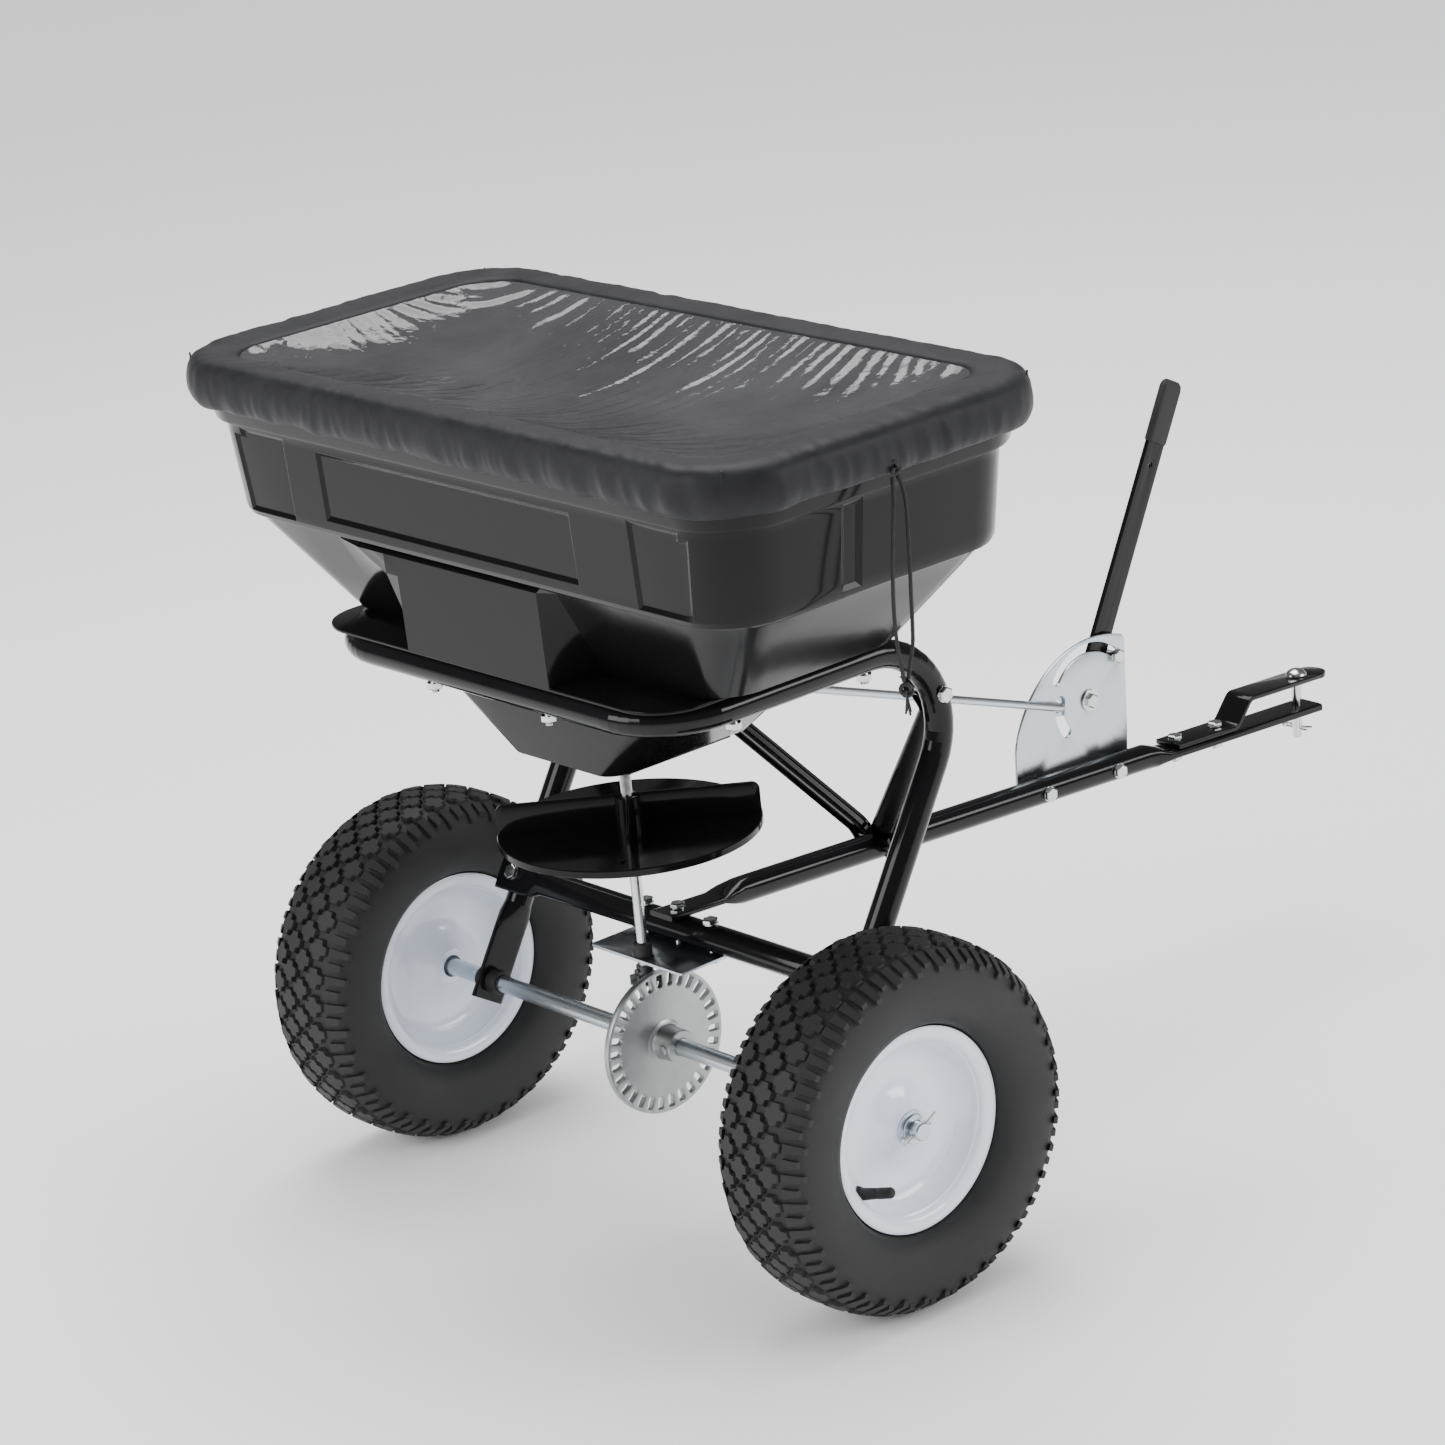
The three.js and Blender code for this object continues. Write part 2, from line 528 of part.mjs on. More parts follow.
const slotMid = WHEEL_R + (GEAR_SLOT_IN + GEAR_SLOT_OUT) / 2;
function pinion() {
  const shape = new THREE.Shape();
  const tooth = (2 * Math.PI) / PINION_TEETH;
  for (let i = 0; i < PINION_TEETH; i += 1) {
    const middle = -Math.PI / 2 + i * tooth;
    const points = [[PINION_ROOT_R, -0.3], [PINION_TIP_R, -0.11], [PINION_TIP_R, 0.11], [PINION_ROOT_R, 0.3]];
    for (const [r, turn] of points) {
      const at = [r * Math.cos(middle + turn * tooth), r * Math.sin(middle + turn * tooth)];
      if (i === 0 && turn === -0.3) shape.moveTo(...at);
      else shape.lineTo(...at);
    }
  }
  const star = new THREE.ExtrudeGeometry(shape, { depth: PINION_H, bevelEnabled: false });
  const teeth = solid(star.translate(0, 0, slotMid - PINION_H / 2));
  const collar = rod(V(0, 0, slotMid), V(0, 0, plateTop - PLATE_T - 3.4), 7.6, 16);
  return cut(join(teeth, collar), rod(V(0, 0, 180), V(0, 0, 260), SHAFT_D / 2 + GAP, 16));
}

function agitator() {
  const bar = rod(V(-44, 0, AGITATOR_Z), V(44, 0, AGITATOR_Z), 3, 8);
  const fingers = [-1, 1].map((end) =>
    rod(V(end * 42, 0, AGITATOR_Z - 14), V(end * 42, 0, AGITATOR_Z + 12), 3, 8));
  return join(bar, ...fingers);
}

function spinnerShaft() {
  return cut(rod(V(0, 0, SHAFT_BOTTOM), V(0, 0, SHAFT_TOP), SHAFT_D / 2, 16),
    rod(V(-9, 0, AGITATOR_Z), V(9, 0, AGITATOR_Z), 3.4, 8));
}

// ---------------------------------------------------------------- axle, gear and wheels
const axleHole = (y, radius) => rod(V(-12, y, WHEEL_R), V(12, y, WHEEL_R), radius, 8);
const cotterY = AXLE_LENGTH / 2 - COTTER_INSET;
const hubOut = TRACK / 2 + HUB_LENGTH / 2;
function axle() {
  const bar = rod(V(0, -AXLE_LENGTH / 2, WHEEL_R), V(0, AXLE_LENGTH / 2, WHEEL_R), AXLE_D / 2, 20);
  return cut(bar, axleHole(-cotterY, COTTER_D / 2 + 0.5), axleHole(hubOut - 9, 3.5), axleHole(gearPinY, 2.6));
}

const gearBack = GEAR_FACE_Y - GEAR_T;
const gearHubEnd = gearBack - 22;
const gearPinY = gearHubEnd + 8;
function driveGear() {
  const ring = new THREE.Shape(roundSection(GEAR_R, 60).getPoints());
  for (let i = 0; i < GEAR_TEETH; i += 1) {
    const turn = Math.PI / 2 + (i * 2 * Math.PI) / GEAR_TEETH;
    const half = GEAR_SLOT_W / 2;
    const local = [[GEAR_SLOT_IN, half], [GEAR_SLOT_OUT, half],
      [GEAR_SLOT_OUT, -half], [GEAR_SLOT_IN, -half]];
    ring.holes.push(new THREE.Path(local.map(([r, w]) => new THREE.Vector2(
      r * Math.cos(turn) - w * Math.sin(turn), r * Math.sin(turn) + w * Math.cos(turn)))));
  }
  const disc = new THREE.ExtrudeGeometry(ring, { depth: GEAR_T, bevelEnabled: false });
  const plate = solid(disc.rotateX(Math.PI / 2).translate(0, GEAR_FACE_Y, WHEEL_R));
  const hub = rod(V(0, GEAR_FACE_Y - 1, WHEEL_R), V(0, gearHubEnd, WHEEL_R), 15.5, 24);
  const bore = rod(V(0, GEAR_FACE_Y + 5, WHEEL_R), V(0, gearHubEnd - 5, WHEEL_R), AXLE_D / 2 + GAP, 20);
  const pin = rod(V(-20, gearPinY, WHEEL_R), V(20, gearPinY, WHEEL_R), 2.8, 8);
  return cut(join(plate, hub), bore, pin);
}

// profiles are radius and distance along the axle from the wheel's centre plane
function lathed(profile, segments, y) {
  const points = [...profile, profile[0]].map(([r, along]) => new THREE.Vector2(r, along));
  return solid(new THREE.LatheGeometry(points, segments).translate(0, y, 0));
}

function tyre() {
  const [seat, flange, side] = [RIM_SEAT_D / 2 + 1, RIM_FLANGE_D / 2 + 1.5, -TYRE_W / 2];
  const edge = -RIM_W / 2;
  const bead = [[seat, edge + 9.5], [seat + 4, edge + 6], [flange, edge + 3.5], [flange + 1.5, edge - 2]];
  const wall = [[flange + 10, side + 5], [118, side], [140, side + 1], [156, side + 8]];
  const outer = [...bead, ...wall, [WHEEL_R - 1, -28], [WHEEL_R, -10]];
  // the air chamber, open to the rim
  const chamber = [[seat, 17], [112, 44], [140, 44], [WHEEL_R - TYRE_WALL, 24]];
  const bothSides = (half) => [...half, ...half.map(([r, y]) => [r, -y]).reverse()];
  return lathed([...bothSides(outer), ...bothSides(chamber)], TYRE_SIDES, 0);
}

function rim(side) {
  const [seat, flange, w] = [RIM_SEAT_D / 2, RIM_FLANGE_D / 2, RIM_W / 2];
  const half = [[flange, w], [flange, w - 2], [seat, w - 7], [seat - 9, 12]];
  const barrelOut = [...half, ...half.map(([r, y]) => [r, -y]).reverse()];
  const inward = [[flange - RIM_T, -w], [seat - 3.5, -w + 7], [seat - 11.5, -6],
    [44, -2.5], [HUB_D / 2, -2.5]];
  const bore = AXLE_D / 2 + (side < 0 ? 5.4 : 0.5); // the right wheel turns on bearings
  const hub = [[HUB_D / 2, -HUB_LENGTH / 2], [bore, -HUB_LENGTH / 2],
    [bore, HUB_LENGTH / 2], [HUB_D / 2, HUB_LENGTH / 2]];
  const outward = [...inward].reverse().map(([r, y]) => [r, -y]);
  return lathed([...barrelOut, ...inward, ...hub, ...outward], RIM_SIDES, 0);
}

function wheelBearing(out) {
  const y0 = out * (HUB_LENGTH / 2 + GAP);
  const flange = rod(V(0, y0, 0), V(0, y0 + out * 2.2, 0), 16, 24);
  const sleeve = rod(V(0, out * (HUB_LENGTH / 2 - 14), 0), V(0, y0 + out * 1, 0), AXLE_D / 2 + 5, 24);
  return cut(join(flange, sleeve), rod(V(0, out * 5, 0), V(0, out * 40, 0), AXLE_D / 2 + 0.4, 20));
}

// ------------------------------------------------ tongue, strap and control plate (drawbar axes)
function hitchTube() {
  const middle = new Route([V(DRAWBAR_ROUND[0], 0, 0), V(DRAWBAR_ROUND[1], 0, 0)], 1);
  const round = pipe(middle, TUBE_D, TUBE_WALL, 12);
  const rear = box(-20, DRAWBAR_ROUND[0] + 16, -15, 15, -FLAT_T / 2, FLAT_T / 2);
  const [low, high] = TONGUE_FLAT;
  const front = box(DRAWBAR_ROUND[1] - 16, TONGUE_END, -TONGUE_FLAT_HALF, TONGUE_FLAT_HALF, low, high);
  const end = box(TONGUE_END - 1, DRAWBAR_TIP, -TONGUE_FLAT_HALF, TONGUE_FLAT_HALF, low, high - TONGUE_STEP);
  const across = [BRACE_U, ...CONTROL_BOLTS].map((u) => boltHole(V(u, 0, 0), V(0, 1, 0), 20));
  const down = [0, ...STRAP_BOLTS].map((u) => boltHole(V(u, 0, 0), V(0, 0, 1), 12));
  return cut(join(round, rear, front, end), ...across, ...down, pinHole());
}

const STRAP_BOLTS = [STRAP_REAR + 10, STRAP_REAR + 66];
const CONTROL_BOLTS = [CONTROL.rear + 16, CONTROL.rear + 110];
const pinHole = () => rod(V(HITCH_PIN_U, 0, -20), V(HITCH_PIN_U, 0, 60), HITCH_PIN_D / 2 + 0.6, 16);

function hitchStrap() {
  const low = TONGUE_FLAT[1] + GAP + STRIP_T / 2;
  const high = TONGUE_FLAT[1] + HITCH_GAP + STRIP_T / 2;
  const route = new Route([V(STRAP_REAR, 0, low), V(STRAP_REAR + 82, 0, low), V(STRAP_REAR + 102, 0, high),
    V(STRAP_TIP, 0, high)], 9, V(0, 1, 0), 5);
  const nose = cut(box(STRAP_TIP - STRAP_W / 2, STRAP_TIP + 1, -STRAP_W, STRAP_W, high - 9, high + 9),
    rod(V(STRAP_TIP - STRAP_W / 2, 0, high - 10), V(STRAP_TIP - STRAP_W / 2, 0, high + 10), STRAP_W / 2, 32));
  const holes = STRAP_BOLTS.map((u) => boltHole(V(u, 0, 0), V(0, 0, 1), 14));
  return cut(swept(flatSection(STRAP_W, STRIP_T), route), nose, ...holes, pinHole());
}

const controlY = tubeR + GAP;
const leverY = (layer) => controlY + CONTROL_T + 0.5 + [0, 3.3, 8.4][layer]; // arm, then bar
function arcSlot(radius, from, to, half) {
  // a curved slot about the pivot, as an outline walked out along one side and back along the other
  const shape = new THREE.Shape();
  const at = (turn, r) => [PIVOT.u + r * Math.cos(turn), PIVOT.v + r * Math.sin(turn)];
  const cap = (turn, sense) => shape.absarc(...at(turn, radius), half, turn + (sense < 0 ? Math.PI : 0),
    turn + (sense < 0 ? 2 * Math.PI : Math.PI), false);
  cap(to, 1);
  shape.absarc(PIVOT.u, PIVOT.v, radius - half, to, from, true);
  cap(from, -1);
  shape.absarc(PIVOT.u, PIVOT.v, radius + half, from, to, false);
  return upright(shape, -20, 60, 8);
}

// an outline in (along, up) made a sheet between two Y faces
function upright(shape, y0, y1, curveSegments = 12) {
  const sheet = new THREE.ExtrudeGeometry(shape, { depth: y1 - y0, bevelEnabled: false, curveSegments });
  return solid(sheet.rotateX(Math.PI / 2).translate(0, y1, 0));
}

function controlPlate() {
  const { rear, front, bottom, arc_u: u, arc_v: v, arc_r: r } = CONTROL;
  const shape = new THREE.Shape();
  shape.moveTo(rear, bottom);
  shape.lineTo(front, bottom);
  const top = v + Math.sqrt(r ** 2 - (front - 8 - u) ** 2);
  shape.lineTo(front, top - 8);
  shape.quadraticCurveTo(front, top - 1, front - 8, top);
  const left = Math.acos((rear - u) / r);
  shape.absarc(u, v, r, Math.asin((top - v) / r), Number.isNaN(left) ? Math.PI * 0.88 : left, false);
  shape.closePath();
  const sheet = upright(shape, controlY, controlY + CONTROL_T, 16);
  const across = [...CONTROL_BOLTS.map((at) => V(at, 0, 0)), V(PIVOT.u, 0, PIVOT.v)];
  return cut(sheet, arcSlot(STOP_R, STOP_ANGLE, SLOT_END_ANGLE, BOLT_D / 2 + 0.8),
    arcSlot(ROD_PIN_R, ...ROD_SLOT_ANGLES, ROD_D / 2 + PIN_PLAY),
    ...across.map((at) => boltHole(at, V(0, 1, 0), 40)));
}

function bar(reach, angle, width, y0, thickness, tail) {
  // a flat bar with round ends about the pivot
  const shape = new THREE.Shape();
  shape.absarc(0, 0, width / 2 + tail, Math.PI / 2, 1.5 * Math.PI);
  shape.absarc(reach, 0, width / 2, -Math.PI / 2, Math.PI / 2);
  const sheet = new THREE.ExtrudeGeometry(shape, { depth: thickness, bevelEnabled: false, curveSegments: 8 });
  return solid(sheet.rotateZ(angle).rotateX(Math.PI / 2).translate(PIVOT.u, y0 + thickness, PIVOT.v));
}

const pivotHole = () => boltHole(V(PIVOT.u, 0, PIVOT.v), V(0, 1, 0), 60);
function leverArm() {
  const pin = rodPinLocal.clone();
  const eye = rod(pin.clone().setY(0), pin.clone().setY(60), ROD_D / 2 + PIN_PLAY, 16);
  return cut(bar(ROD_PIN_R, ROD_PIN_ANGLE, 20, leverY(0), 3, 2), eye, pivotHole());
}

const leverBar = () =>
  cut(bar(LEVER_LENGTH - LEVER_W / 2, LEVER_ANGLE, LEVER_W, leverY(1), LEVER_T, 1), pivotHole());
function leverGrip() {
  const along = V(Math.cos(LEVER_ANGLE), 0, Math.sin(LEVER_ANGLE));
  const across = V(0, 1, 0);
  const middle = V(PIVOT.u, leverY(1) + LEVER_T / 2, PIVOT.v);
  const on = (distance) => middle.clone().addScaledVector(along, distance);
  const [w, t, r] = [LEVER_W / 2 + 2, LEVER_T / 2 + 2.4, 4.5];
  const section = new THREE.Shape();
  const corners = [[w - r, t - r, 0], [-(w - r), t - r, 1], [-(w - r), -(t - r), 2], [w - r, -(t - r), 3]];
  corners.forEach(([x, y, k]) =>
    section.absarc(x, y, r, (k * Math.PI) / 2, ((k + 1) * Math.PI) / 2, false));
  const ends = [on(LEVER_LENGTH - GRIP_LENGTH), on(LEVER_LENGTH + 5)];
  const route = new Route(ends, 1, across.clone().cross(along));
  const options = { steps: 1, bevelEnabled: false, extrudePath: route, curveSegments: 4 };
  const sleeve = solid(new THREE.ExtrudeGeometry(section, options));
  return cut(sleeve, bar(LEVER_LENGTH - LEVER_W / 2 + GAP, LEVER_ANGLE, LEVER_W + 2 * GAP,
    leverY(1) - GAP, LEVER_T + 2 * GAP, 1));
}

// ---------------------------------------------------------------- hitch pin and clip (drawbar axes)
const clipV = -22;
function hitchPin() {
  const at = (v) => V(HITCH_PIN_U, 0, v);
  const profile = [[0, 7], [4.5, 6.2], [8, 4], [10.2, 1.2], [10.5, 0], [0, 0]];
  const dome = profile.map(([r, y]) => new THREE.Vector2(r, y));
  const head = solid(new THREE.LatheGeometry([...dome, dome[0]], 20).rotateX(Math.PI / 2)
    .translate(HITCH_PIN_U, 0, strapTop + GAP));
  const shank = rod(at(-31), at(strapTop + 1), HITCH_PIN_D / 2, 16);
  const hole = rod(V(HITCH_PIN_U, -10, clipV), V(HITCH_PIN_U, 10, clipV), 1.9, 8);
  return cut(join(head, shank), hole);
}

function hitchClip() {
  const u = HITCH_PIN_U;
  const back = u + HITCH_PIN_D / 2 + 2;
  const bends = [V(u, -12, clipV), V(u, 16, clipV), V(back, 16, clipV), V(back, -4, clipV),
    V(back + 4, -9, clipV)];
  const route = new Route(bends,
    3, V(0, 0, 1), 5);
  return wire(route, 2.4, 8);
}

// ---------------------------------------------------------------- rain cover
const hemOut = { x: RIM_TOP.x + HEM.out, y: RIM_TOP.y + HEM.out, r: RIM_TOP.r + HEM.out };
const hemTop = RIM_TOP.z + HEM.up;
function coverHem() {
  const outside = { ...hemOut, z: hemTop };
  const hang = { ...hemOut, x: hemOut.x - 2, y: hemOut.y - 2, z: RIM_TOP.z - HEM.drop };
  const skirtIn = { x: RIM_TOP.x + 2, y: RIM_TOP.y + 2, r: RIM_TOP.r + 2 };
  const top = { ...skirtIn, z: RIM_TOP.z + 1 };
  const low = { ...skirtIn, x: skirtIn.x - 0.6, y: skirtIn.y - 0.6, z: RIM_TOP.z - HEM.drop - 1 };
  const eye = { x: HEM.inner_x, y: HEM.inner_y, r: HEM.inner_r };
  return cut(block(outside, hang), block(top, low),
    block({ ...eye, z: hemTop + 1 }, { ...eye, z: RIM_TOP.z - 5 }));
}

function coverWindow() {
  const sheet = { x: HEM.inner_x - GAP, y: HEM.inner_y - GAP, r: HEM.inner_r };
  return block({ ...sheet, z: hemTop - 1 }, { ...sheet, z: hemTop - 1 - WINDOW_T });
}

// the two ends of the hem's drawstring, hanging at the right end of the hopper and knotted together
const CORD_KNOT = V(-8, -386.5, 566);
const CORD_RUNS = {
  rear: [[1, -380.6, 743], [-1, -383, 737], [-3, -385, 727], [-6, -386, 712], [-9, -386.3, 692],
    [-12, -386.4, 668], [-14, -386.5, 644], [-14.5, -386.5, 622], [-13.5, -386.5, 604],
    [-11.5, -386.5, 590], [-10, -386.5, 575]],
  front: [[7, -380.6, 743], [8, -383, 737], [9, -385, 727], [9, -386, 712], [8, -386.3, 692],
    [7, -386.4, 668], [5.5, -386.5, 644], [4.5, -386.5, 622], [3, -386.5, 604],
    [-1, -386.5, 590], [-5, -386.5, 575.5]],
};
function cord(points) {
  const curve = new THREE.CatmullRomCurve3(points.map((point) => V(...point)), false, 'centripetal');
  const options = { steps: 22, bevelEnabled: false, extrudePath: curve };
  return solid(new THREE.ExtrudeGeometry(roundSection(CORD_D / 2, 8), options));
}

function cordKnot() {
  const ball = new THREE.SphereGeometry(6.4, 12, 8).scale(1, 0.85, 1.2);
  return solid(ball.translate(...CORD_KNOT.toArray()));
}

// ---------------------------------------------------------------- the assembly
add(chassis, 'frame_tube', frameTube(), blackPaint());
add(chassis, 'cross_tube', crossTube(), blackPaint());
for (const [name, side] of sides) {
  add(chassis, `${name}_brace`, brace(side), blackPaint());
  add(chassis, `${name}_axle_bushing`, axleBushing(side), blackPlastic());
}
add(chassis, 'bearing_plate', bearingPlate(), zinc());
add(chassis, 'shaft_bushing', shaftBushing(), blackPlastic());
add(chassis, 'hopper', hopper(), blackPlastic());
add(chassis, 'gate_guide', gateGuide(), zinc());
add(chassis, 'flow_gate', flowGate(), zinc());
add(chassis, 'link_rod', linkRod(), zinc());

add(drawbar, 'hitch_tube', hitchTube(), blackPaint());
add(drawbar, 'hitch_strap', hitchStrap(), blackPaint());
add(drawbar, 'control_plate', controlPlate(), zinc());
add(drawbar, 'lever_arm', leverArm(), zinc());
add(drawbar, 'lever_bar', leverBar(), blackPaint());
add(drawbar, 'lever_grip', leverGrip(), rubber());
add(drawbar, 'hitch_pin', hitchPin(), steel());
add(drawbar, 'hitch_clip', hitchClip(), steel());

hopperBolts().forEach((at, i) => {
  const seat = SLOPE_END.z + WALL + GAP; // the heads are inside the hopper, on its floor
  const grip = seat - (RING_Z - tubeR - GAP);
  add(chassis, `hopper_bolt_${i + 1}`, bolt(at.clone().setZ(seat), V(0, 0, -1), grip), steel());
});
for (const [name, side] of sides) {
  const seat = -(tubeR + FLAT_T + 2 * GAP);
  const head = onLeg(CROSS_ALONG, seat, side * FRAME_HALF);
  add(chassis, `${name}_cross_bolt`, bolt(head, legOut, tubeR + GAP - seat), steel());
  const top = crossAt.z + tubeR + GAP;
  add(chassis, `${name}_plate_bolt`,
    bolt(V(crossAt.x, side * PLATE_BOLT_Y, top), V(0, 0, -1), top - plateTop + PLATE_T + GAP, { tail: 2 }),
    steel());
  const outside = side * (FRAME_HALF + tubeR + GAP);
  add(chassis, `${name}_brace_bolt`,
    bolt(bendBolt.clone().setY(outside), V(0, -side, 0), TUBE_D + BRACE_T + 3 * GAP, { tail: 2 }), steel());
}
const tongueGrip = FLAT_T / 2 + GAP + (drawbarAt.z - plateTop + PLATE_T) + 1.2;
add(drawbar, 'tongue_bolt', bolt(V(0, 0, FLAT_T / 2 + GAP), V(0, 0, -1), tongueGrip, { tail: 2 }), steel());
const braceSpan = tubeR + BRACE_T + 2 * GAP;
const braceFootBolt = bolt(V(BRACE_U, -braceSpan, 0), V(0, 1, 0), 2 * braceSpan, { tail: 2 });
add(drawbar, 'brace_foot_bolt', braceFootBolt, steel());
CONTROL_BOLTS.forEach((u, i) => {
  const reach = controlY + CONTROL_T + GAP;
  const through = bolt(V(u, -tubeR - GAP, 0), V(0, 1, 0), tubeR + GAP + reach);
  add(drawbar, `control_bolt_${i + 1}`, through, steel());
});
STRAP_BOLTS.forEach((u, i) => {
  const top = TONGUE_FLAT[1] + STRIP_T + 2 * GAP;
  const down = bolt(V(u, 0, top), V(0, 0, -1), top - TONGUE_FLAT[0] + GAP, { tail: 2 });
  add(drawbar, `strap_bolt_${i + 1}`, down, steel());
});
add(drawbar, 'lever_pivot', bolt(V(PIVOT.u, controlY - GAP, PIVOT.v), V(0, 1, 0),
  leverY(2) - controlY + 2 * GAP, { tail: 2, washer: 10.5 }), steel());
const stopAt = V(PIVOT.u + STOP_R * Math.cos(STOP_ANGLE), controlY - GAP,
  PIVOT.v + STOP_R * Math.sin(STOP_ANGLE));
add(drawbar, 'stop_bolt', join(rod(stopAt.clone().add(V(0, -5, 0)), stopAt, 7.4, 6),
  rod(stopAt.clone().add(V(0, -1, 0)), stopAt.clone().add(V(0, 15, 0)), BOLT_D / 2, 8)), steel());

add(chassis, 'spinner_shaft', spinnerShaft(), steel());
add(chassis, 'pinion', pinion(), finish(0x2b2d2f, 0.5, 0.6));
add(chassis, 'impeller', impeller(), blackPlastic());
add(chassis, 'agitator', agitator(), zinc());

add(chassis, 'axle', axle(), zinc());
add(chassis, 'drive_gear', driveGear(), finish(0x8f9192, 0.45, 1));
for (const [name, side] of sides) {
  const wheel = new THREE.Group();
  wheel.position.set(0, (side * TRACK) / 2, WHEEL_R);
  chassis.add(wheel);
  const driven = side > 0 ? rod(V(-30, HUB_LENGTH / 2 - 9, 0), V(30, HUB_LENGTH / 2 - 9, 0), 3.6, 8) : null;
  add(wheel, `${name}_rim`, driven ? cut(rim(side), driven) : rim(side), finish(0xc9d3e6, 0.25, 0));
  add(wheel, `${name}_tyre`, tyre(), rubber());
  if (!driven) for (const [place, out] of [['outer', -1], ['inner', 1]]) {
    add(wheel, `${place}_wheel_bearing`, wheelBearing(out), zinc());
  }
}
const drivePinY = hubOut - 9;
add(chassis, 'drive_pin', join(rod(V(-22, drivePinY, WHEEL_R), V(22, drivePinY, WHEEL_R), 3, 8),
  rod(V(HUB_D / 2 + 1, drivePinY, WHEEL_R), V(HUB_D / 2 + 4, drivePinY, WHEEL_R), 6, 12)), zinc());
add(chassis, 'axle_cotter', join(rod(V(-18, -cotterY, WHEEL_R), V(17, -cotterY, WHEEL_R), COTTER_D / 2, 8),
  rod(V(16, -cotterY - 1.5, WHEEL_R), V(16, -cotterY + 1.5, WHEEL_R), 4.5, 12)), zinc());

add(chassis, 'cover_hem', coverHem(), finish(0x15161a, 0.8, 0));
add(chassis, 'cover_window', coverWindow(), finish(0x55585c, 0.2, 0));
add(chassis, 'drawcord_rear', cord(CORD_RUNS.rear), finish(0x101012, 0.85, 0));
add(chassis, 'drawcord_front', cord(CORD_RUNS.front), finish(0x101012, 0.85, 0));
add(chassis, 'drawcord_knot', cordKnot(), finish(0x101012, 0.85, 0));

export default spreader;
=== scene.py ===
# %% [markdown]
# # A tow-behind broadcast spreader
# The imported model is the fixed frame: it says where every part is and which body it moves with.
# This lesson builds the fine surfaces around that frame. All sizes below are in millimetres from the
# axle's middle, with +X forward, +Y left and +Z up, and one matrix at the end of each piece turns
# them into metres in the frame. Working in a maker's units keeps the numbers short and readable.

# %% Load the frame
import json
import math

import bmesh
import bpy
from mathutils import Matrix, Vector, noise


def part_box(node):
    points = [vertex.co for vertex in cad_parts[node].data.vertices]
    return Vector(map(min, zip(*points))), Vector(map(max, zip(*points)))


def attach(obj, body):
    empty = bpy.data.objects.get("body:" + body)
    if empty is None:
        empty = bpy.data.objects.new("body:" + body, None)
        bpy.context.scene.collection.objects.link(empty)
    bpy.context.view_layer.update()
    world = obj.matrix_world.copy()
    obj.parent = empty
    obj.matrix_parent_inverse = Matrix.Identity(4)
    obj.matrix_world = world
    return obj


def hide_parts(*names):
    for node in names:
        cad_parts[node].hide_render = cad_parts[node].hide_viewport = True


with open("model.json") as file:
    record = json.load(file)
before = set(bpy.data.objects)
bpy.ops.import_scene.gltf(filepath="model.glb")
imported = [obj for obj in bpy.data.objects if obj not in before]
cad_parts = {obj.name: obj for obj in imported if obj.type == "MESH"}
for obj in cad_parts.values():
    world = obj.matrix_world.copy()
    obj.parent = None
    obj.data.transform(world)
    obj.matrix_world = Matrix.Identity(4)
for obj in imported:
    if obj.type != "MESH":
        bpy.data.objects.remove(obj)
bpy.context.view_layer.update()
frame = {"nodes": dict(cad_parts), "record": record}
MM = 0.001
axle_low, axle_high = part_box("axle")
AXLE_X = (axle_low.x + axle_high.x) / 2
CHASSIS = Matrix.Translation((AXLE_X, 0, 0)) @ Matrix.Diagonal((MM, MM, MM, 1))
print("frame loaded:", len(frame["nodes"]), "nodes, axle at", round(AXLE_X, 4))

# %% [markdown]
# ## Camera
# A long lens from behind and to the right of the spreader, a little above it. The camera is rolled a few
# degrees about its own axis, which makes the level spreader look as if its nose is slightly up. A camera
# looks along its own -Z, so its axes are built from the heading, the downward tilt and the roll.

# %% Camera
CAMERA_AT = Vector((-2589, -3270, 1859))
HEADING, TILT, ROLL = math.radians(39.6), math.radians(18.64), math.radians(-5.55)
LENS = 125.6

look = Vector((math.cos(TILT) * math.sin(HEADING), math.cos(TILT) * math.cos(HEADING), -math.sin(TILT)))
level = look.cross(Vector((0, 0, 1))).normalized()
upward = level.cross(look)
right = level * math.cos(ROLL) + upward * math.sin(ROLL)
above = upward * math.cos(ROLL) - level * math.sin(ROLL)
camera_data = bpy.data.cameras.new("camera")
camera_data.lens = LENS
camera_data.sensor_width = 36
camera_data.clip_end = 100
camera = bpy.data.objects.new("camera", camera_data)
turn = Matrix((right, above, -look)).transposed().to_4x4()
camera.matrix_world = Matrix.Translation(CHASSIS @ CAMERA_AT) @ turn
bpy.context.scene.collection.objects.link(camera)
bpy.context.scene.camera = camera
print("camera at", tuple(round(v, 3) for v in camera.location))

# %% [markdown]
# ## Helpers
# Every piece starts as a bmesh, is softened along its sharp edges, and then becomes one object at the
# origin with its place in its mesh. `piece` does that last step and names the body it rides on, the
# finish it takes and the plain CAD nodes it stands for.


# %% Turn a bmesh into a finished piece
def piece(name, bm, body, slot, stands_for=(), placed=CHASSIS, smooth=35, tidy=True):
    if tidy:
        bmesh.ops.remove_doubles(bm, verts=bm.verts, dist=0.002)
        bmesh.ops.recalc_face_normals(bm, faces=bm.faces)
    bmesh.ops.transform(bm, matrix=placed, verts=bm.verts)
    mesh = bpy.data.meshes.new(name)
    bm.to_mesh(mesh)
    bm.free()
    for polygon in mesh.polygons:
        polygon.use_smooth = True
    mesh.set_sharp_from_angle(angle=math.radians(smooth))
    obj = bpy.data.objects.new(name, mesh)
    bpy.context.scene.collection.objects.link(obj)
    obj.data.materials.append(FINISHES[slot])
    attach(obj, body)
    if stands_for:
        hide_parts(*stands_for)
    return obj


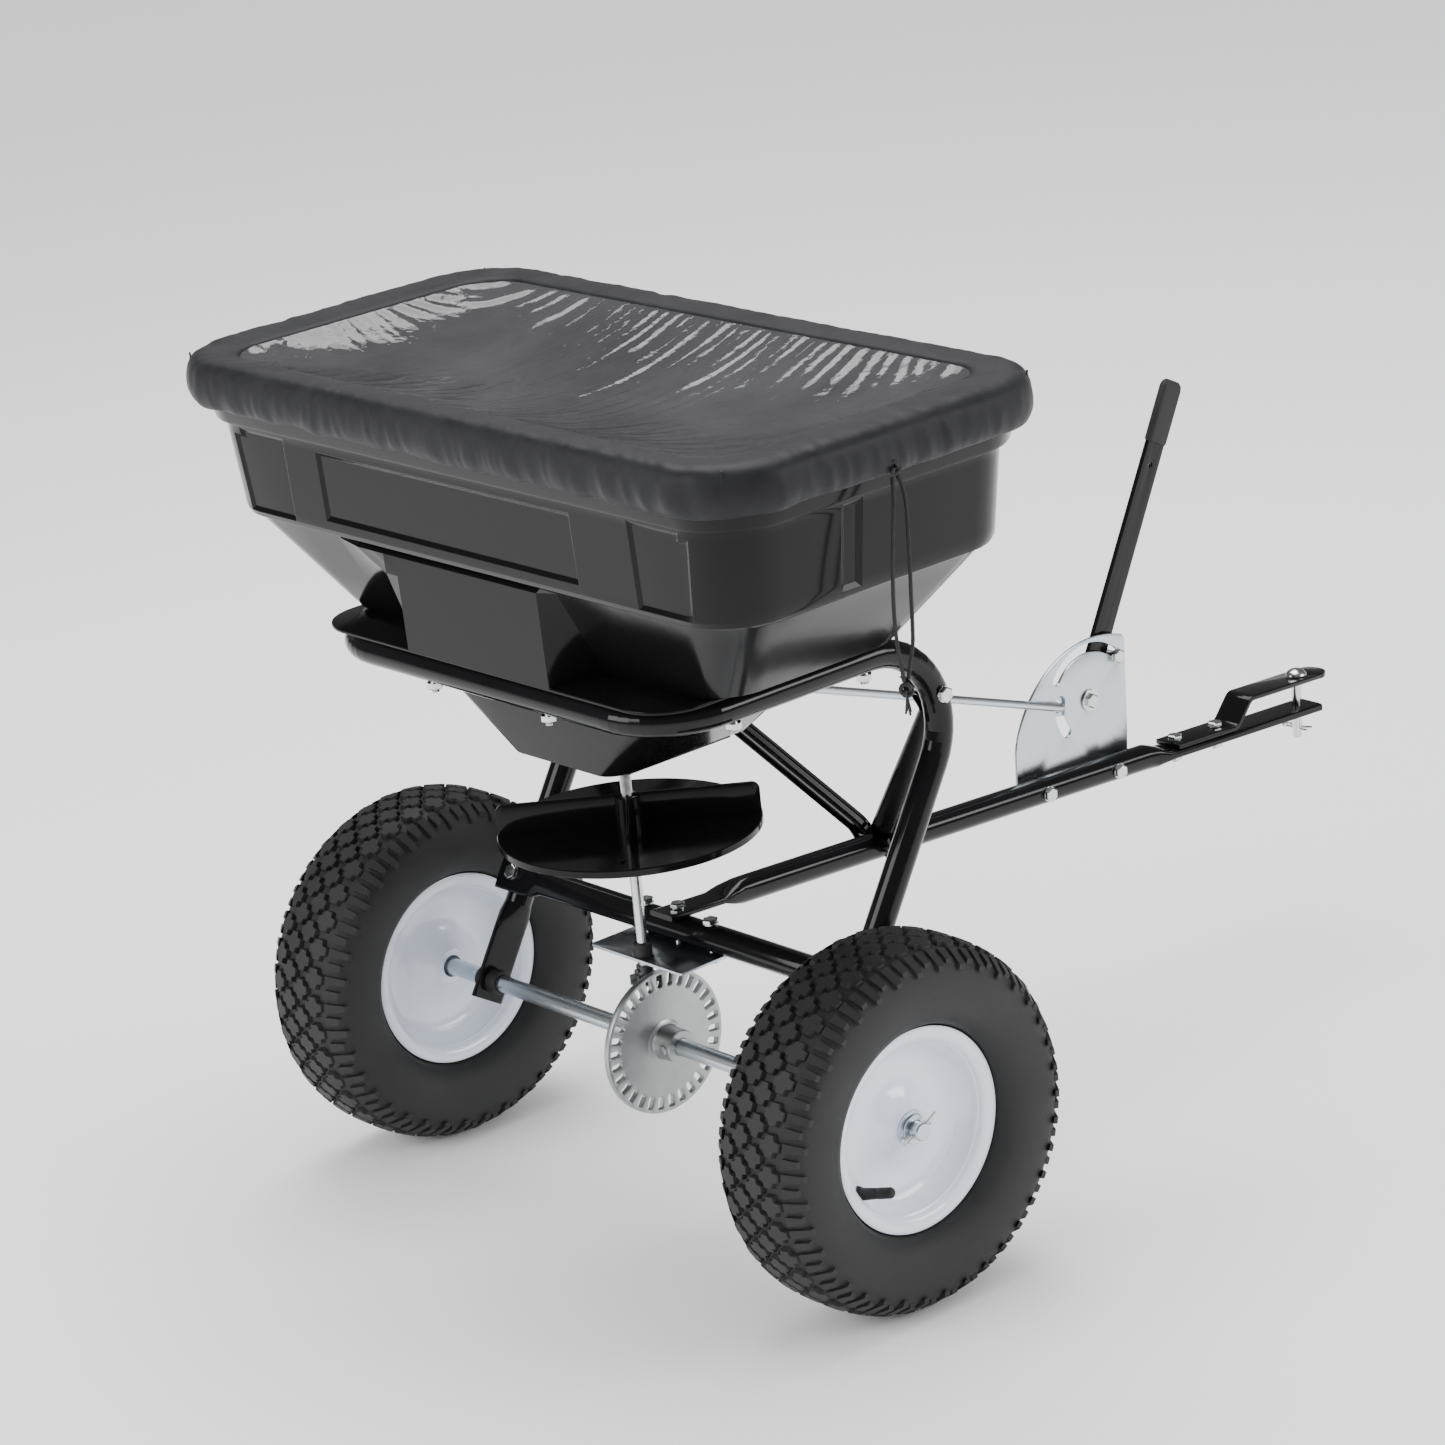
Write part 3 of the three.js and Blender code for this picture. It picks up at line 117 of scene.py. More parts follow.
def soften(bm, width, segments=2, angle=40):
    edges = [e for e in bm.edges if e.is_manifold and e.calc_face_angle(0) > math.radians(angle)]
    bmesh.ops.bevel(bm, geom=edges, offset=width, affect="EDGES", segments=segments, profile=0.5,
                    material=-1, clamp_overlap=True)


def along(direction, at=(0, 0, 0), roll_to=(0, 0, 1)):
    """A matrix that stands local Z along a direction, with local X near roll_to."""
    z = Vector(direction).normalized()
    guide = Vector(roll_to)
    if abs(z.dot(guide.normalized())) > 0.99:
        guide = z.orthogonal()
    x = (guide - z * guide.dot(z)).normalized()
    return Matrix.Translation(Vector(at)) @ Matrix((x, z.cross(x), z)).transposed().to_4x4()


def disc(bm, at, direction, radius, height, segments=32, top=None):
    """A cylinder or cone standing on a point, along a direction."""
    top = radius if top is None else top
    lie = along(direction, at) @ Matrix.Translation((0, 0, height / 2))
    return bmesh.ops.create_cone(bm, cap_ends=True, segments=segments, radius1=radius, radius2=top,
                                 depth=height, matrix=lie)["verts"]


def block(bm, low, high, lie=Matrix.Identity(4)):
    low, high = Vector(low), Vector(high)
    size = high - low
    centre = (low + high) / 2
    return bmesh.ops.create_cube(bm, size=1, matrix=lie @ Matrix.Translation(centre)
                                 @ Matrix.Diagonal((*size, 1)))["verts"]


def plate(bm, outline, thickness, holes=(), lie=Matrix.Identity(4)):
    """A flat sheet from an outline and its holes in local XY, thickened along local Z."""
    edges = []
    for loop in (outline, *holes):
        verts = [bm.verts.new((x, y, 0)) for x, y in loop]
        edges += [bm.edges.new((verts[i - 1], verts[i])) for i in range(len(verts))]
    filled = bmesh.ops.triangle_fill(bm, use_beauty=True, use_dissolve=False, edges=edges)
    faces = [g for g in filled["geom"] if isinstance(g, bmesh.types.BMFace)]
    grown = bmesh.ops.extrude_face_region(bm, geom=faces)["geom"]
    top = [g for g in grown if isinstance(g, bmesh.types.BMVert)]
    bmesh.ops.translate(bm, verts=top, vec=(0, 0, thickness))
    bottom = list({v for f in faces if f.is_valid for v in f.verts})
    bmesh.ops.transform(bm, matrix=lie, verts=list({*top, *bottom}))


def arc(radius, start, end, steps, centre=(0, 0)):
    turns = [start + (end - start) * i / steps for i in range(steps + 1)]
    return [(centre[0] + radius * math.cos(t), centre[1] + radius * math.sin(t)) for t in turns]


def circle(radius, steps=24, centre=(0, 0)):
    return arc(radius, 0, 2 * math.pi, steps, centre)[:-1]


def lathe(bm, profile, at, direction, segments=64):
    """Spins a closed profile of (radius, height) about a line through a point."""
    verts = [bm.verts.new((r, 0, h)) for r, h in profile]
    edges = [bm.edges.new((verts[i - 1], verts[i])) for i in range(len(verts))]
    made = bmesh.ops.spin(bm, geom=[*verts, *edges], cent=(0, 0, 0), axis=(0, 0, 1), dvec=(0, 0, 0),
                          angle=2 * math.pi, steps=segments, use_merge=True, use_duplicate=False)
    done = {v for v in verts if v.is_valid}
    reach = {g for g in made["geom_last"] if isinstance(g, bmesh.types.BMVert) and g.is_valid}
    seen, edge_of = set(done | reach), list(done | reach)
    while edge_of:
        v = edge_of.pop()
        for e in v.link_edges:
            other = e.other_vert(v)
            if other not in seen:
                seen.add(other)
                edge_of.append(other)
    bmesh.ops.transform(bm, matrix=along(direction, at), verts=list(seen))


print("helpers ready")


# %% [markdown]
# A bent tube is straight runs joined by arcs. The route below places a station only where the line
# bends, and the tube is one circle extruded from station to station and turned at each by the bend.


# %% Bent tubes and flat bars
def stations(points, radius, bend_steps=10):
    points = [Vector(p) for p in points]
    route = []
    for i, point in enumerate(points):
        before = (point - points[i - 1]).normalized() if i else None
        after = (points[i + 1] - point).normalized() if i < len(points) - 1 else None
        if before is None or after is None:
            route.append((point, before or after))
            continue
        bend = before.angle(after)
        if bend < 0.01:
            continue
        reach = radius * math.tan(bend / 2)
        centre = point + (after - before).normalized() * radius / math.cos(bend / 2)
        spoke, axis = point - before * reach - centre, before.cross(after)
        for k in range(bend_steps + 1):
            turn = Matrix.Rotation(bend * k / bend_steps, 3, axis)
            route.append((centre + turn @ spoke, turn @ before))
    return route


def sweep(bm, route, section, flat=None):
    """Carries a closed section in local XY along a route. flat keeps local X near one direction."""
    guide = Vector(flat) if flat else route[0][1].orthogonal()
    lies = []
    for point, tangent in route:
        guide = Vector(flat) if flat else (guide - tangent * guide.dot(tangent)).normalized()
        lies.append(along(tangent, point, guide))
    verts = [bm.verts.new((x, y, 0)) for x, y in section]
    face = bm.faces.new(verts)
    bmesh.ops.transform(bm, matrix=lies[0], verts=verts)
    for here, there in zip(lies, lies[1:]):
        grown = bmesh.ops.extrude_face_region(bm, geom=[face])["geom"]
        face = next(g for g in grown if isinstance(g, bmesh.types.BMFace))
        bmesh.ops.transform(bm, matrix=there @ here.inverted(), verts=face.verts)


def bar_section(width, thickness, corner=1.2, steps=3):
    outline = []
    for k, (sx, sy) in enumerate(((1, 1), (-1, 1), (-1, -1), (1, -1))):
        centre = (sx * (width / 2 - corner), sy * (thickness / 2 - corner))
        outline += arc(corner, k * math.pi / 2, (k + 1) * math.pi / 2, steps, centre)
    return outline


# %% [markdown]
# ## Light and floor
# Gloss black shows nothing but what it reflects, so the studio is drawn for its reflections: one wide
# soft panel overhead, one tall panel on each side, and a pale floor that fills the lower walls. The sky is
# white where it is seen and dim where it is mirrored, so that the black stays deep between the panels.

# %% Studio
scene = bpy.context.scene
world = bpy.data.worlds.new("studio")
scene.world = world
world.use_nodes = True
SEEN_SKY, DIFFUSE_SKY, MIRRORED_SKY = 1.4, 1.15, 0.16
sky = world.node_tree.nodes["Background"]
sky.inputs["Color"].default_value = (1, 1, 1, 1)
ray = world.node_tree.nodes.new("ShaderNodeLightPath")
dim = world.node_tree.nodes.new("ShaderNodeMapRange")
dim.inputs["To Min"].default_value, dim.inputs["To Max"].default_value = DIFFUSE_SKY, MIRRORED_SKY
seen = world.node_tree.nodes.new("ShaderNodeMix")
seen.inputs["B"].default_value = SEEN_SKY
world.node_tree.links.new(ray.outputs["Is Glossy Ray"], dim.inputs["Value"])
world.node_tree.links.new(dim.outputs["Result"], seen.inputs["A"])
world.node_tree.links.new(ray.outputs["Is Camera Ray"], seen.inputs["Factor"])
world.node_tree.links.new(seen.outputs["Result"], sky.inputs["Strength"])


def panel(name, at, to, size, power):
    data = bpy.data.lights.new(name, "AREA")
    data.shape = "RECTANGLE"
    data.size, data.size_y = size
    data.energy = power
    lamp = bpy.data.objects.new(name, data)
    lamp.matrix_world = along(Vector(at) - Vector(to), at)
    scene.collection.objects.link(lamp)
    return lamp


panel("overhead_panel", (0.3, 0.6, 3.4), (0, 0, 0.5), (3.2, 2.2), 120)
panel("left_panel", (-3.6, 0.9, 1.9), (0, 0, 0.5), (1.6, 2.4), 75)
panel("right_panel", (2.2, -3.4, 2.0), (0, 0, 0.5), (1.2, 2.4), 75)

floor_bm = bmesh.new()
bmesh.ops.create_grid(floor_bm, x_segments=1, y_segments=1, size=40)
floor_mesh = bpy.data.meshes.new("floor")
floor_bm.to_mesh(floor_mesh)
floor_bm.free()
floor = bpy.data.objects.new("floor", floor_mesh)
scene.collection.objects.link(floor)
floor_paint = bpy.data.materials.new("floor_paint")
floor_paint.use_nodes = True
floor_shader = floor_paint.node_tree.nodes["Principled BSDF"]
floor_shader.inputs["Base Color"].default_value = (0.9, 0.9, 0.9, 1)
floor_shader.inputs["Roughness"].default_value = 0.9
floor_shader.inputs["Specular IOR Level"].default_value = 0.1
floor_mesh.materials.append(floor_paint)
print("studio lit")

# %% [markdown]
# ## Finishes
# Two effects are used by many finishes, so each is one node group with its own inputs: `grain` gives
# a bumped normal from fine noise, and `mottle` mixes two colours and two roughnesses by a cloudy mask.
# The shader itself stays in each material, where its plain values can be read and changed.


# %% Shared effect groups
def new_group(name, inputs, outputs):
    group = bpy.data.node_groups.new(name, "ShaderNodeTree")
    for label, kind, value in inputs:
        socket = group.interface.new_socket(label, in_out="INPUT", socket_type=kind)
        socket.default_value = value
    for label, kind in outputs:
        group.interface.new_socket(label, in_out="OUTPUT", socket_type=kind)
    ins, outs = group.nodes.new("NodeGroupInput"), group.nodes.new("NodeGroupOutput")
    return group, ins, outs


def stretched(group, ins):
    """Object coordinates stretched by the group's Stretch input, so that grain can run one way."""
    where = group.nodes.new("ShaderNodeTexCoord")
    scale = group.nodes.new("ShaderNodeVectorMath")
    scale.operation = "MULTIPLY"
    group.links.new(where.outputs["Object"], scale.inputs[0])
    group.links.new(ins.outputs["Stretch"], scale.inputs[1])
    return scale.outputs[0]


FLOAT, COLOR, VECTOR = "NodeSocketFloat", "NodeSocketColor", "NodeSocketVector"
grain, grain_in, grain_out = new_group(
    "grain", [("Scale", FLOAT, 400.0), ("Strength", FLOAT, 0.1), ("Distance", FLOAT, 0.0005),
              ("Stretch", VECTOR, (1, 1, 1))], [("Normal", VECTOR), ("Height", FLOAT)])
grain_noise = grain.nodes.new("ShaderNodeTexNoise")
grain_noise.inputs["Detail"].default_value = 4
grain_bump = grain.nodes.new("ShaderNodeBump")
grain.links.new(stretched(grain, grain_in), grain_noise.inputs["Vector"])
grain.links.new(grain_in.outputs["Scale"], grain_noise.inputs["Scale"])
grain.links.new(grain_noise.outputs["Fac"], grain_bump.inputs["Height"])
grain.links.new(grain_in.outputs["Strength"], grain_bump.inputs["Strength"])
grain.links.new(grain_in.outputs["Distance"], grain_bump.inputs["Distance"])
grain.links.new(grain_bump.outputs["Normal"], grain_out.inputs["Normal"])
grain.links.new(grain_noise.outputs["Fac"], grain_out.inputs["Height"])

mottle, mottle_in, mottle_out = new_group(
    "mottle", [("Scale", FLOAT, 20.0), ("Contrast", FLOAT, 3.0), ("Stretch", VECTOR, (1, 1, 1)),
               ("Color A", COLOR, (0, 0, 0, 1)), ("Color B", COLOR, (1, 1, 1, 1)),
               ("Rough A", FLOAT, 0.2), ("Rough B", FLOAT, 0.3)], [("Color", COLOR), ("Roughness", FLOAT)])
clouds = mottle.nodes.new("ShaderNodeTexNoise")
clouds.inputs["Detail"].default_value = 6
clouds.inputs["Roughness"].default_value = 0.6
push = mottle.nodes.new("ShaderNodeMath")
push.operation = "MULTIPLY_ADD"
centred = mottle.nodes.new("ShaderNodeMath")
centred.operation = "SUBTRACT"
centred.inputs[1].default_value = 0.5
push.inputs[2].default_value = 0.5
push.use_clamp = True
blend_color = mottle.nodes.new("ShaderNodeMix")
blend_color.data_type = "RGBA"
blend_rough = mottle.nodes.new("ShaderNodeMix")
mottle.links.new(stretched(mottle, mottle_in), clouds.inputs["Vector"])
mottle.links.new(mottle_in.outputs["Scale"], clouds.inputs["Scale"])
mottle.links.new(clouds.outputs["Fac"], centred.inputs[0])
mottle.links.new(centred.outputs[0], push.inputs[0])
mottle.links.new(mottle_in.outputs["Contrast"], push.inputs[1])
mottle.links.new(push.outputs[0], blend_color.inputs["Factor"])
mottle.links.new(push.outputs[0], blend_rough.inputs["Factor"])
mottle.links.new(mottle_in.outputs["Color A"], blend_color.inputs[6])
mottle.links.new(mottle_in.outputs["Color B"], blend_color.inputs[7])
mottle.links.new(mottle_in.outputs["Rough A"], blend_rough.inputs[2])
mottle.links.new(mottle_in.outputs["Rough B"], blend_rough.inputs[3])
mottle.links.new(blend_color.outputs[2], mottle_out.inputs["Color"])
mottle.links.new(blend_rough.outputs[0], mottle_out.inputs["Roughness"])
print("effect groups:", [g.name for g in bpy.data.node_groups])

# %% [markdown]
# Each finish below is a row of plain values: two near colours, two roughnesses, how metallic it is,
# and the size and depth of its grain. Powder coat has a slight orange peel, zinc plate fine brushed
# streaks, cast metal a coarse mottle, rubber a dull bloom, and the cloth a fine woven relief.


# %% A finish from its values
def finish(name, colors, roughs, metal=0.0, cloud=(6, 3), bump=(900, 0.06, 0.0004), stretch=(1, 1, 1),
           **plain):
    material = bpy.data.materials.new(name)
    material.use_nodes = True
    nodes, links = material.node_tree.nodes, material.node_tree.links
    shader = nodes["Principled BSDF"]
    shader.inputs["Metallic"].default_value = metal
    for label, value in plain.items():
        shader.inputs[label.replace("_", " ")].default_value = value
    variation = nodes.new("ShaderNodeGroup")
    variation.node_tree = mottle
    variation.inputs["Scale"].default_value, variation.inputs["Contrast"].default_value = cloud
    variation.inputs["Stretch"].default_value = stretch
    for label, value in zip(("Color A", "Color B"), colors):
        variation.inputs[label].default_value = (*value, 1)
    for label, value in zip(("Rough A", "Rough B"), roughs):
        variation.inputs[label].default_value = value
    relief = nodes.new("ShaderNodeGroup")
    relief.node_tree = grain
    for label, value in zip(("Scale", "Strength", "Distance"), bump):
        relief.inputs[label].default_value = value
    relief.inputs["Stretch"].default_value = stretch
    links.new(variation.outputs["Color"], shader.inputs["Base Color"])
    links.new(variation.outputs["Roughness"], shader.inputs["Roughness"])
    links.new(relief.outputs["Normal"], shader.inputs["Normal"])
    return material


FINISHES = {
    "black_paint": finish("black_powder_coat", [(0.004, 0.004, 0.0045), (0.007, 0.007, 0.008)], (0.10, 0.17),
                          bump=(260, 0.05, 0.0006), Coat_Weight=0.1, Coat_Roughness=0.05,
                          Specular_IOR_Level=0.22),
    "black_plastic": finish("gloss_black_plastic", [(0.004, 0.004, 0.0045), (0.006, 0.006, 0.0065)],
                            (0.10, 0.16), cloud=(4, 2), bump=(35, 0.025, 0.003), Coat_Weight=0.06,
                            Coat_Roughness=0.04, Specular_IOR_Level=0.16),
    "zinc_plate": finish("zinc_plate", [(0.56, 0.62, 0.67), (0.62, 0.67, 0.71)], (0.24, 0.32), 1.0,
                         cloud=(12, 1.4), bump=(500, 0.08, 0.0003), stretch=(1, 1, 3)),
    "bolt_steel": finish("bolt_steel", [(0.62, 0.63, 0.63), (0.74, 0.75, 0.75)], (0.16, 0.28), 1.0,
                         cloud=(120, 3), bump=(900, 0.05, 0.0002)),
    "cast_gear": finish("cast_gear_metal", [(0.38, 0.39, 0.39), (0.50, 0.51, 0.51)], (0.32, 0.46), 1.0,
                        cloud=(34, 2.2), bump=(260, 0.18, 0.0005)),
    "sintered_pinion": finish("sintered_steel", [(0.05, 0.05, 0.052), (0.12, 0.12, 0.12)], (0.35, 0.5), 0.8,
                              cloud=(150, 3), bump=(700, 0.2, 0.0003)),
    "rim_paint": finish("rim_enamel", [(0.74, 0.81, 0.94), (0.80, 0.86, 0.96)], (0.12, 0.2), cloud=(9, 2),
                        bump=(90, 0.02, 0.001), Coat_Weight=0.7, Coat_Roughness=0.05),
    "tyre_rubber": finish("tyre_rubber", [(0.009, 0.009, 0.009), (0.018, 0.018, 0.0185)], (0.55, 0.75),
                          cloud=(14, 2.5), bump=(420, 0.25, 0.0006)),
    "grip_vinyl": finish("grip_vinyl", [(0.008, 0.008, 0.008), (0.015, 0.015, 0.015)], (0.55, 0.7),
                         cloud=(60, 2), bump=(650, 0.25, 0.0005)),
    "cover_cloth": finish("cover_cloth", [(0.008, 0.008, 0.010), (0.017, 0.017, 0.021)], (0.42, 0.6),
                          cloud=(30, 2), bump=(1400, 0.3, 0.0004), Sheen_Weight=0.05, Sheen_Roughness=0.4,
                          Specular_IOR_Level=0.22),
    "cover_vinyl": finish("cover_vinyl", [(0.045, 0.045, 0.048), (0.075, 0.075, 0.08)], (0.05, 0.11),
                          cloud=(7, 3), bump=(26, 0.3, 0.012), Alpha=0.8, Coat_Weight=0.5),
    "cord_braid": finish("cord_braid", [(0.006, 0.006, 0.007), (0.022, 0.022, 0.024)], (0.6, 0.8),
                         cloud=(700, 3), bump=(1100, 0.6, 0.0008)),
}
for node in frame["nodes"].values():
    slot_name = next(s["material_slot"] for s in frame["record"]["subparts"] if s["node"] == node.name)
    node.data.materials.clear()
    node.data.materials.append(FINISHES[slot_name])
print("finishes:", len(FINISHES))

# %% [markdown]
# ## Frame tube
# One inch tube, bent once: up both legs, over at the top of each, along the sides and round the back
# of the hopper. The legs lean forward, and each leg's foot is pressed flat and drilled for the axle.

# %% Frame tube
TUBE_R = 12.7
LEAN = math.radians(31.5)
LEG_UP = Vector((math.sin(LEAN), 0, math.cos(LEAN)))
LEG_OUT = Vector((math.cos(LEAN), 0, -math.sin(LEAN)))
WHEEL_R = 165
SIDE, RING_Z, RING_REAR = 227, 537, -136
LEG_BEND, RING_BEND = 75, 66
sides = (("left", 1), ("right", -1))


def on_leg(up, out, y):
    point = Vector((0, 0, WHEEL_R)) + LEG_UP * up + LEG_OUT * out
    return Vector((point.x, y, point.z))


corner = on_leg((RING_Z - WHEEL_R) / math.cos(LEAN), 0, 0)
FOOT = 58  # the round part of the leg starts here, up from the axle
PRESS = 16  # the tube tapers to the flat over this length


def pressed(width, thickness, steps=24):
    """An oval section between round tube and flat bar."""
    power = 2 + 5 * (1 - min(width, thickness) / max(width, thickness))
    outline = []
    for i in range(steps):
        c, s = math.cos(2 * math.pi * i / steps), math.sin(2 * math.pi * i / steps)
        outline.append((math.copysign(abs(c) ** (2 / power), c) * width / 2,
                        math.copysign(abs(s) ** (2 / power), s) * thickness / 2))
    return outline


def morph(bm, stops, flat):
    """Carries a section that changes from stop to stop: each stop is a point, a direction and an outline."""
    rings = []
    for point, tangent, outline in stops:
        lie = along(tangent, point, flat)
        rings.append([bm.verts.new(lie @ Vector((x, y, 0))) for x, y in outline])
    for a, b in zip(rings, rings[1:]):
        edges = [bm.edges.new((r[i - 1], r[i])) for r in (a, b) for i in range(len(r))
                 if not bm.edges.get((r[i - 1], r[i]))]
        edges = [bm.edges.get((r[i - 1], r[i])) for r in (a, b) for i in range(len(r))]
        bmesh.ops.bridge_loops(bm, edges=list(set(edges)))
    for ring in (rings[0], rings[-1]):
        bm.faces.new(ring)


bm = bmesh.new()
route = [on_leg(FOOT + PRESS, 0, -SIDE), Vector((corner.x, -SIDE, RING_Z)),
         Vector((RING_REAR, -SIDE, RING_Z))]
leg_route = stations([*route[:2], Vector((-20, -SIDE, RING_Z))], LEG_BEND, 16)
ring_half = stations([Vector((-20, -SIDE, RING_Z)), route[2], Vector((RING_REAR, 0, RING_Z))], RING_BEND, 12)
half = leg_route[:-1] + ring_half[1:-1]
mirrored = [(Vector((p.x, -p.y, p.z)), Vector((-t.x, t.y, -t.z))) for p, t in reversed(half)]
sweep(bm, half + mirrored, circle(TUBE_R, 28))
for _, side in sides:
    stops = [(on_leg(-19, 0, side * SIDE), LEG_UP, pressed(36, 5)),
             (on_leg(FOOT - 12, 0, side * SIDE), LEG_UP, pressed(36, 5)),
             (on_leg(FOOT - 4, 0, side * SIDE), LEG_UP, pressed(34, 9)),
             (on_leg(FOOT + 6, 0, side * SIDE), LEG_UP, pressed(29.5, 18)),
             (on_leg(FOOT + PRESS + 1, 0, side * SIDE), LEG_UP, circle(TUBE_R, 24))]
    morph(bm, stops, LEG_OUT)
piece("bent_frame_tube", bm, "root", "black_paint", ["frame_tube"])
print("frame tube swept along", len(half + mirrored), "stations")

# %% Cross tube
cross_at = on_leg(100.6, -10, 0)
CROSS_OUT = -(TUBE_R + 2.8)
bm = bmesh.new()
stops = []
for y, shape, out in ((-246, pressed(36, 5), CROSS_OUT), (-208, pressed(36, 5), CROSS_OUT),
                      (-199, pressed(33, 10), -14),
                      (-188, circle(TUBE_R, 24), -10), (188, circle(TUBE_R, 24), -10),
                      (199, pressed(33, 10), -14),
                      (208, pressed(36, 5), CROSS_OUT), (246, pressed(36, 5), CROSS_OUT)):
    stops.append((on_leg(100.6, out, y), Vector((0, 1, 0)), shape))
morph(bm, stops, LEG_UP)
piece("pressed_cross_tube", bm, "root", "black_paint", ["cross_tube"])
print("cross tube at", [round(v, 1) for v in cross_at])

# %% [markdown]
# ## Tongue
# The tongue slopes down towards the hitch, so its pieces are built level in axes of their own, with X
# along the tongue from the cross tube and Z square to it, and one matrix tilts them into place.

# %% Tongue tube and hitch strap
SLOPE = 0.0541
DRAWBAR_AT = cross_at + Vector((0, 0, TUBE_R + 2.8))
DRAWBAR = CHASSIS @ Matrix.Translation(DRAWBAR_AT) @ Matrix.Rotation(SLOPE, 4, "Y")
AHEAD = Vector((1, 0, 0))
bm = bmesh.new()
stops = [((x, 0, z), AHEAD, shape) for x, z, shape in (
    (-20, 0, pressed(5, 30)), (44, 0, pressed(5, 30)), (56, 0, pressed(14, 29)), (70, 0, pressed(23, 26)),
    (84, 0, circle(TUBE_R, 24)), (590, 0, circle(TUBE_R, 24)), (602, -1, pressed(21, 27)),
    (613, -2, pressed(11, 32)), (622, -2, pressed(8, 34)), (828, -2, pressed(8, 34)))]
morph(bm, stops, (0, 0, 1))
piece("tongue_tube", bm, "root", "black_paint", ["hitch_tube"], placed=DRAWBAR)

bm = bmesh.new()
STRAP_LOW, STRAP_HIGH = 4.8, 30.0
strap_route = stations([(626, 0, STRAP_LOW), (708, 0, STRAP_LOW), (728, 0, STRAP_HIGH),
                        (829, 0, STRAP_HIGH)], 9, 6)
sweep(bm, strap_route, bar_section(5, 32, 1.2), flat=(0, 0, 1))
disc(bm, (828, 0, STRAP_HIGH - 2.5), (0, 0, 1), 16, 5, 40)
soften(bm, 0.8, 2, 60)
piece("cranked_hitch_strap", bm, "root", "black_paint", ["hitch_strap"], placed=DRAWBAR)
print("tongue and strap tilted", round(math.degrees(SLOPE), 2), "degrees")

# %% [markdown]
# ## Wheels
# A tyre of this kind is a moulded carcass with studs standing on it. The carcass is one spun profile.
# The studs are eight-lobed blocks in staggered rows, with two ribs per pitch on each shoulder that fade
# into the sidewall. One stud is modelled flat and wrapped round the crown, row by row.

# %% Tyre carcass and tread
TRACK, TYRE_W = 624, 105
PITCHES = 38
TREAD_DEPTH = 4.5
CROWN_R, CROWN_W = WHEEL_R - TREAD_DEPTH, 88
SHOULDER_R = 46  # how sharply the crown turns down to the sidewall


def tread_radius(y):
    """Carcass radius under the tread at a distance from the tyre's middle."""
    return CROWN_R - 9 * (abs(y) / (CROWN_W / 2)) ** 3.2


def carcass_profile():
    outside = [(77, 24.5), (81, 28), (91.5, 30.5), (93, 36), (97, 42.5), (106, 48.5), (118, 51.6), (131, 52),
               (141, 50.4), (147.5, 48.2)]
    crown = [(tread_radius(y), y) for y in (44, 38, 31, 23, 14, 5)]
    half = outside + crown
    inside = [(150, 22), (146, 36), (134, 44), (112, 43), (98, 36), (84, 22), (77, 18)]
    mirror = [(r, -y) for r, y in reversed(half)]
    return half + mirror + [(r, -y) for r, y in reversed(inside)] + inside


def star(radius, lobes=4):
    """A plus with chamfered ends, the stud's outline."""
    outline = []
    for k in range(lobes):
        for turn, reach in ((-0.36, 1.0), (0.36, 1.0), (0.785, 0.66)):
            t = k * math.pi / 2 + turn
            outline.append((radius * reach * math.cos(t), radius * reach * math.sin(t)))
    return outline


def wrap(flat_x, y, rise):
    """From a place along and across the tread to a point on the tyre, standing up by rise."""
    turn = flat_x / CROWN_R
    r = tread_radius(y) + rise
    return Vector((r * math.sin(turn), y, r * math.cos(turn)))


def stud(bm, outline, at_x, at_y, depth=TREAD_DEPTH, taper=0.86):
    foot = [bm.verts.new(wrap(at_x + x, at_y + y, -1)) for x, y in outline]
    top = [bm.verts.new(wrap(at_x + x * taper, at_y + y * taper, depth)) for x, y in outline]
    bm.faces.new(top)
    for i in range(len(outline)):
        bm.faces.new((foot[i - 1], foot[i], top[i], top[i - 1]))
    bm.faces.new(list(reversed(foot)))


def tread(bm):
    pitch = 2 * math.pi * CROWN_R / PITCHES
    for k in range(PITCHES):
        for row, y in enumerate((-25.5, -8.5, 8.5, 25.5)):
            stud(bm, star(11.4), pitch * (k + 0.5 * (row % 2)), y)
        for side_sign in (-1, 1):
            for rib, length in ((0.0, 1.0), (0.5, 0.72)):
                x = pitch * (k + rib + 0.25 * (side_sign > 0))
                w = pitch * 0.17
                edge = [(-w, 0), (w, 0), (w * 0.7, 16 * length), (-w * 0.7, 16 * length)]
                shoulder = [(px, side_sign * (37 + py)) for px, py in edge]
                stud(bm, shoulder, x, 0, depth=TREAD_DEPTH - 1.0, taper=1.0)


for name, side in sides:
    hub = (0, side * TRACK / 2, WHEEL_R)
    bm = bmesh.new()
    tread(bm)
    bmesh.ops.recalc_face_normals(bm, faces=bm.faces)
    bmesh.ops.transform(bm, matrix=Matrix.Translation(hub), verts=bm.verts)
    lathe(bm, carcass_profile(), hub, (0, side, 0), 120)
    body = "drive_axle" if side > 0 else "free_wheel"
    tyre = piece(f"{name}_treaded_tyre", bm, body, "tyre_rubber", [f"{name}_tyre"], smooth=38)
    print(tyre.name, len(tyre.data.polygons), "faces")

# %% [markdown]
# The rim is pressed steel, two dishes joined at the middle and painted. Its section is spun whole: a
# rolled flange, the bead seat and drop centre, then a bowl that swells forward again round the hub tube.

# %% Rims
RIM_HALF = [(90, 32.2), (90.6, 33.4), (89.6, 34), (86, 33.6), (80, 31.8), (78.4, 30.2), (77.4, 27),
            (75.5, 21),
            (70, 13.5), (61, 8.2), (50, 6.4), (40, 7.6), (31, 11.5), (24, 16.5), (19.5, 20.5), (16.4, 23.4),
            (16.2, 24.8)]
BARREL = [(90, 32), (80, 29), (76, 26), (75.8, 19), (67, 12)]


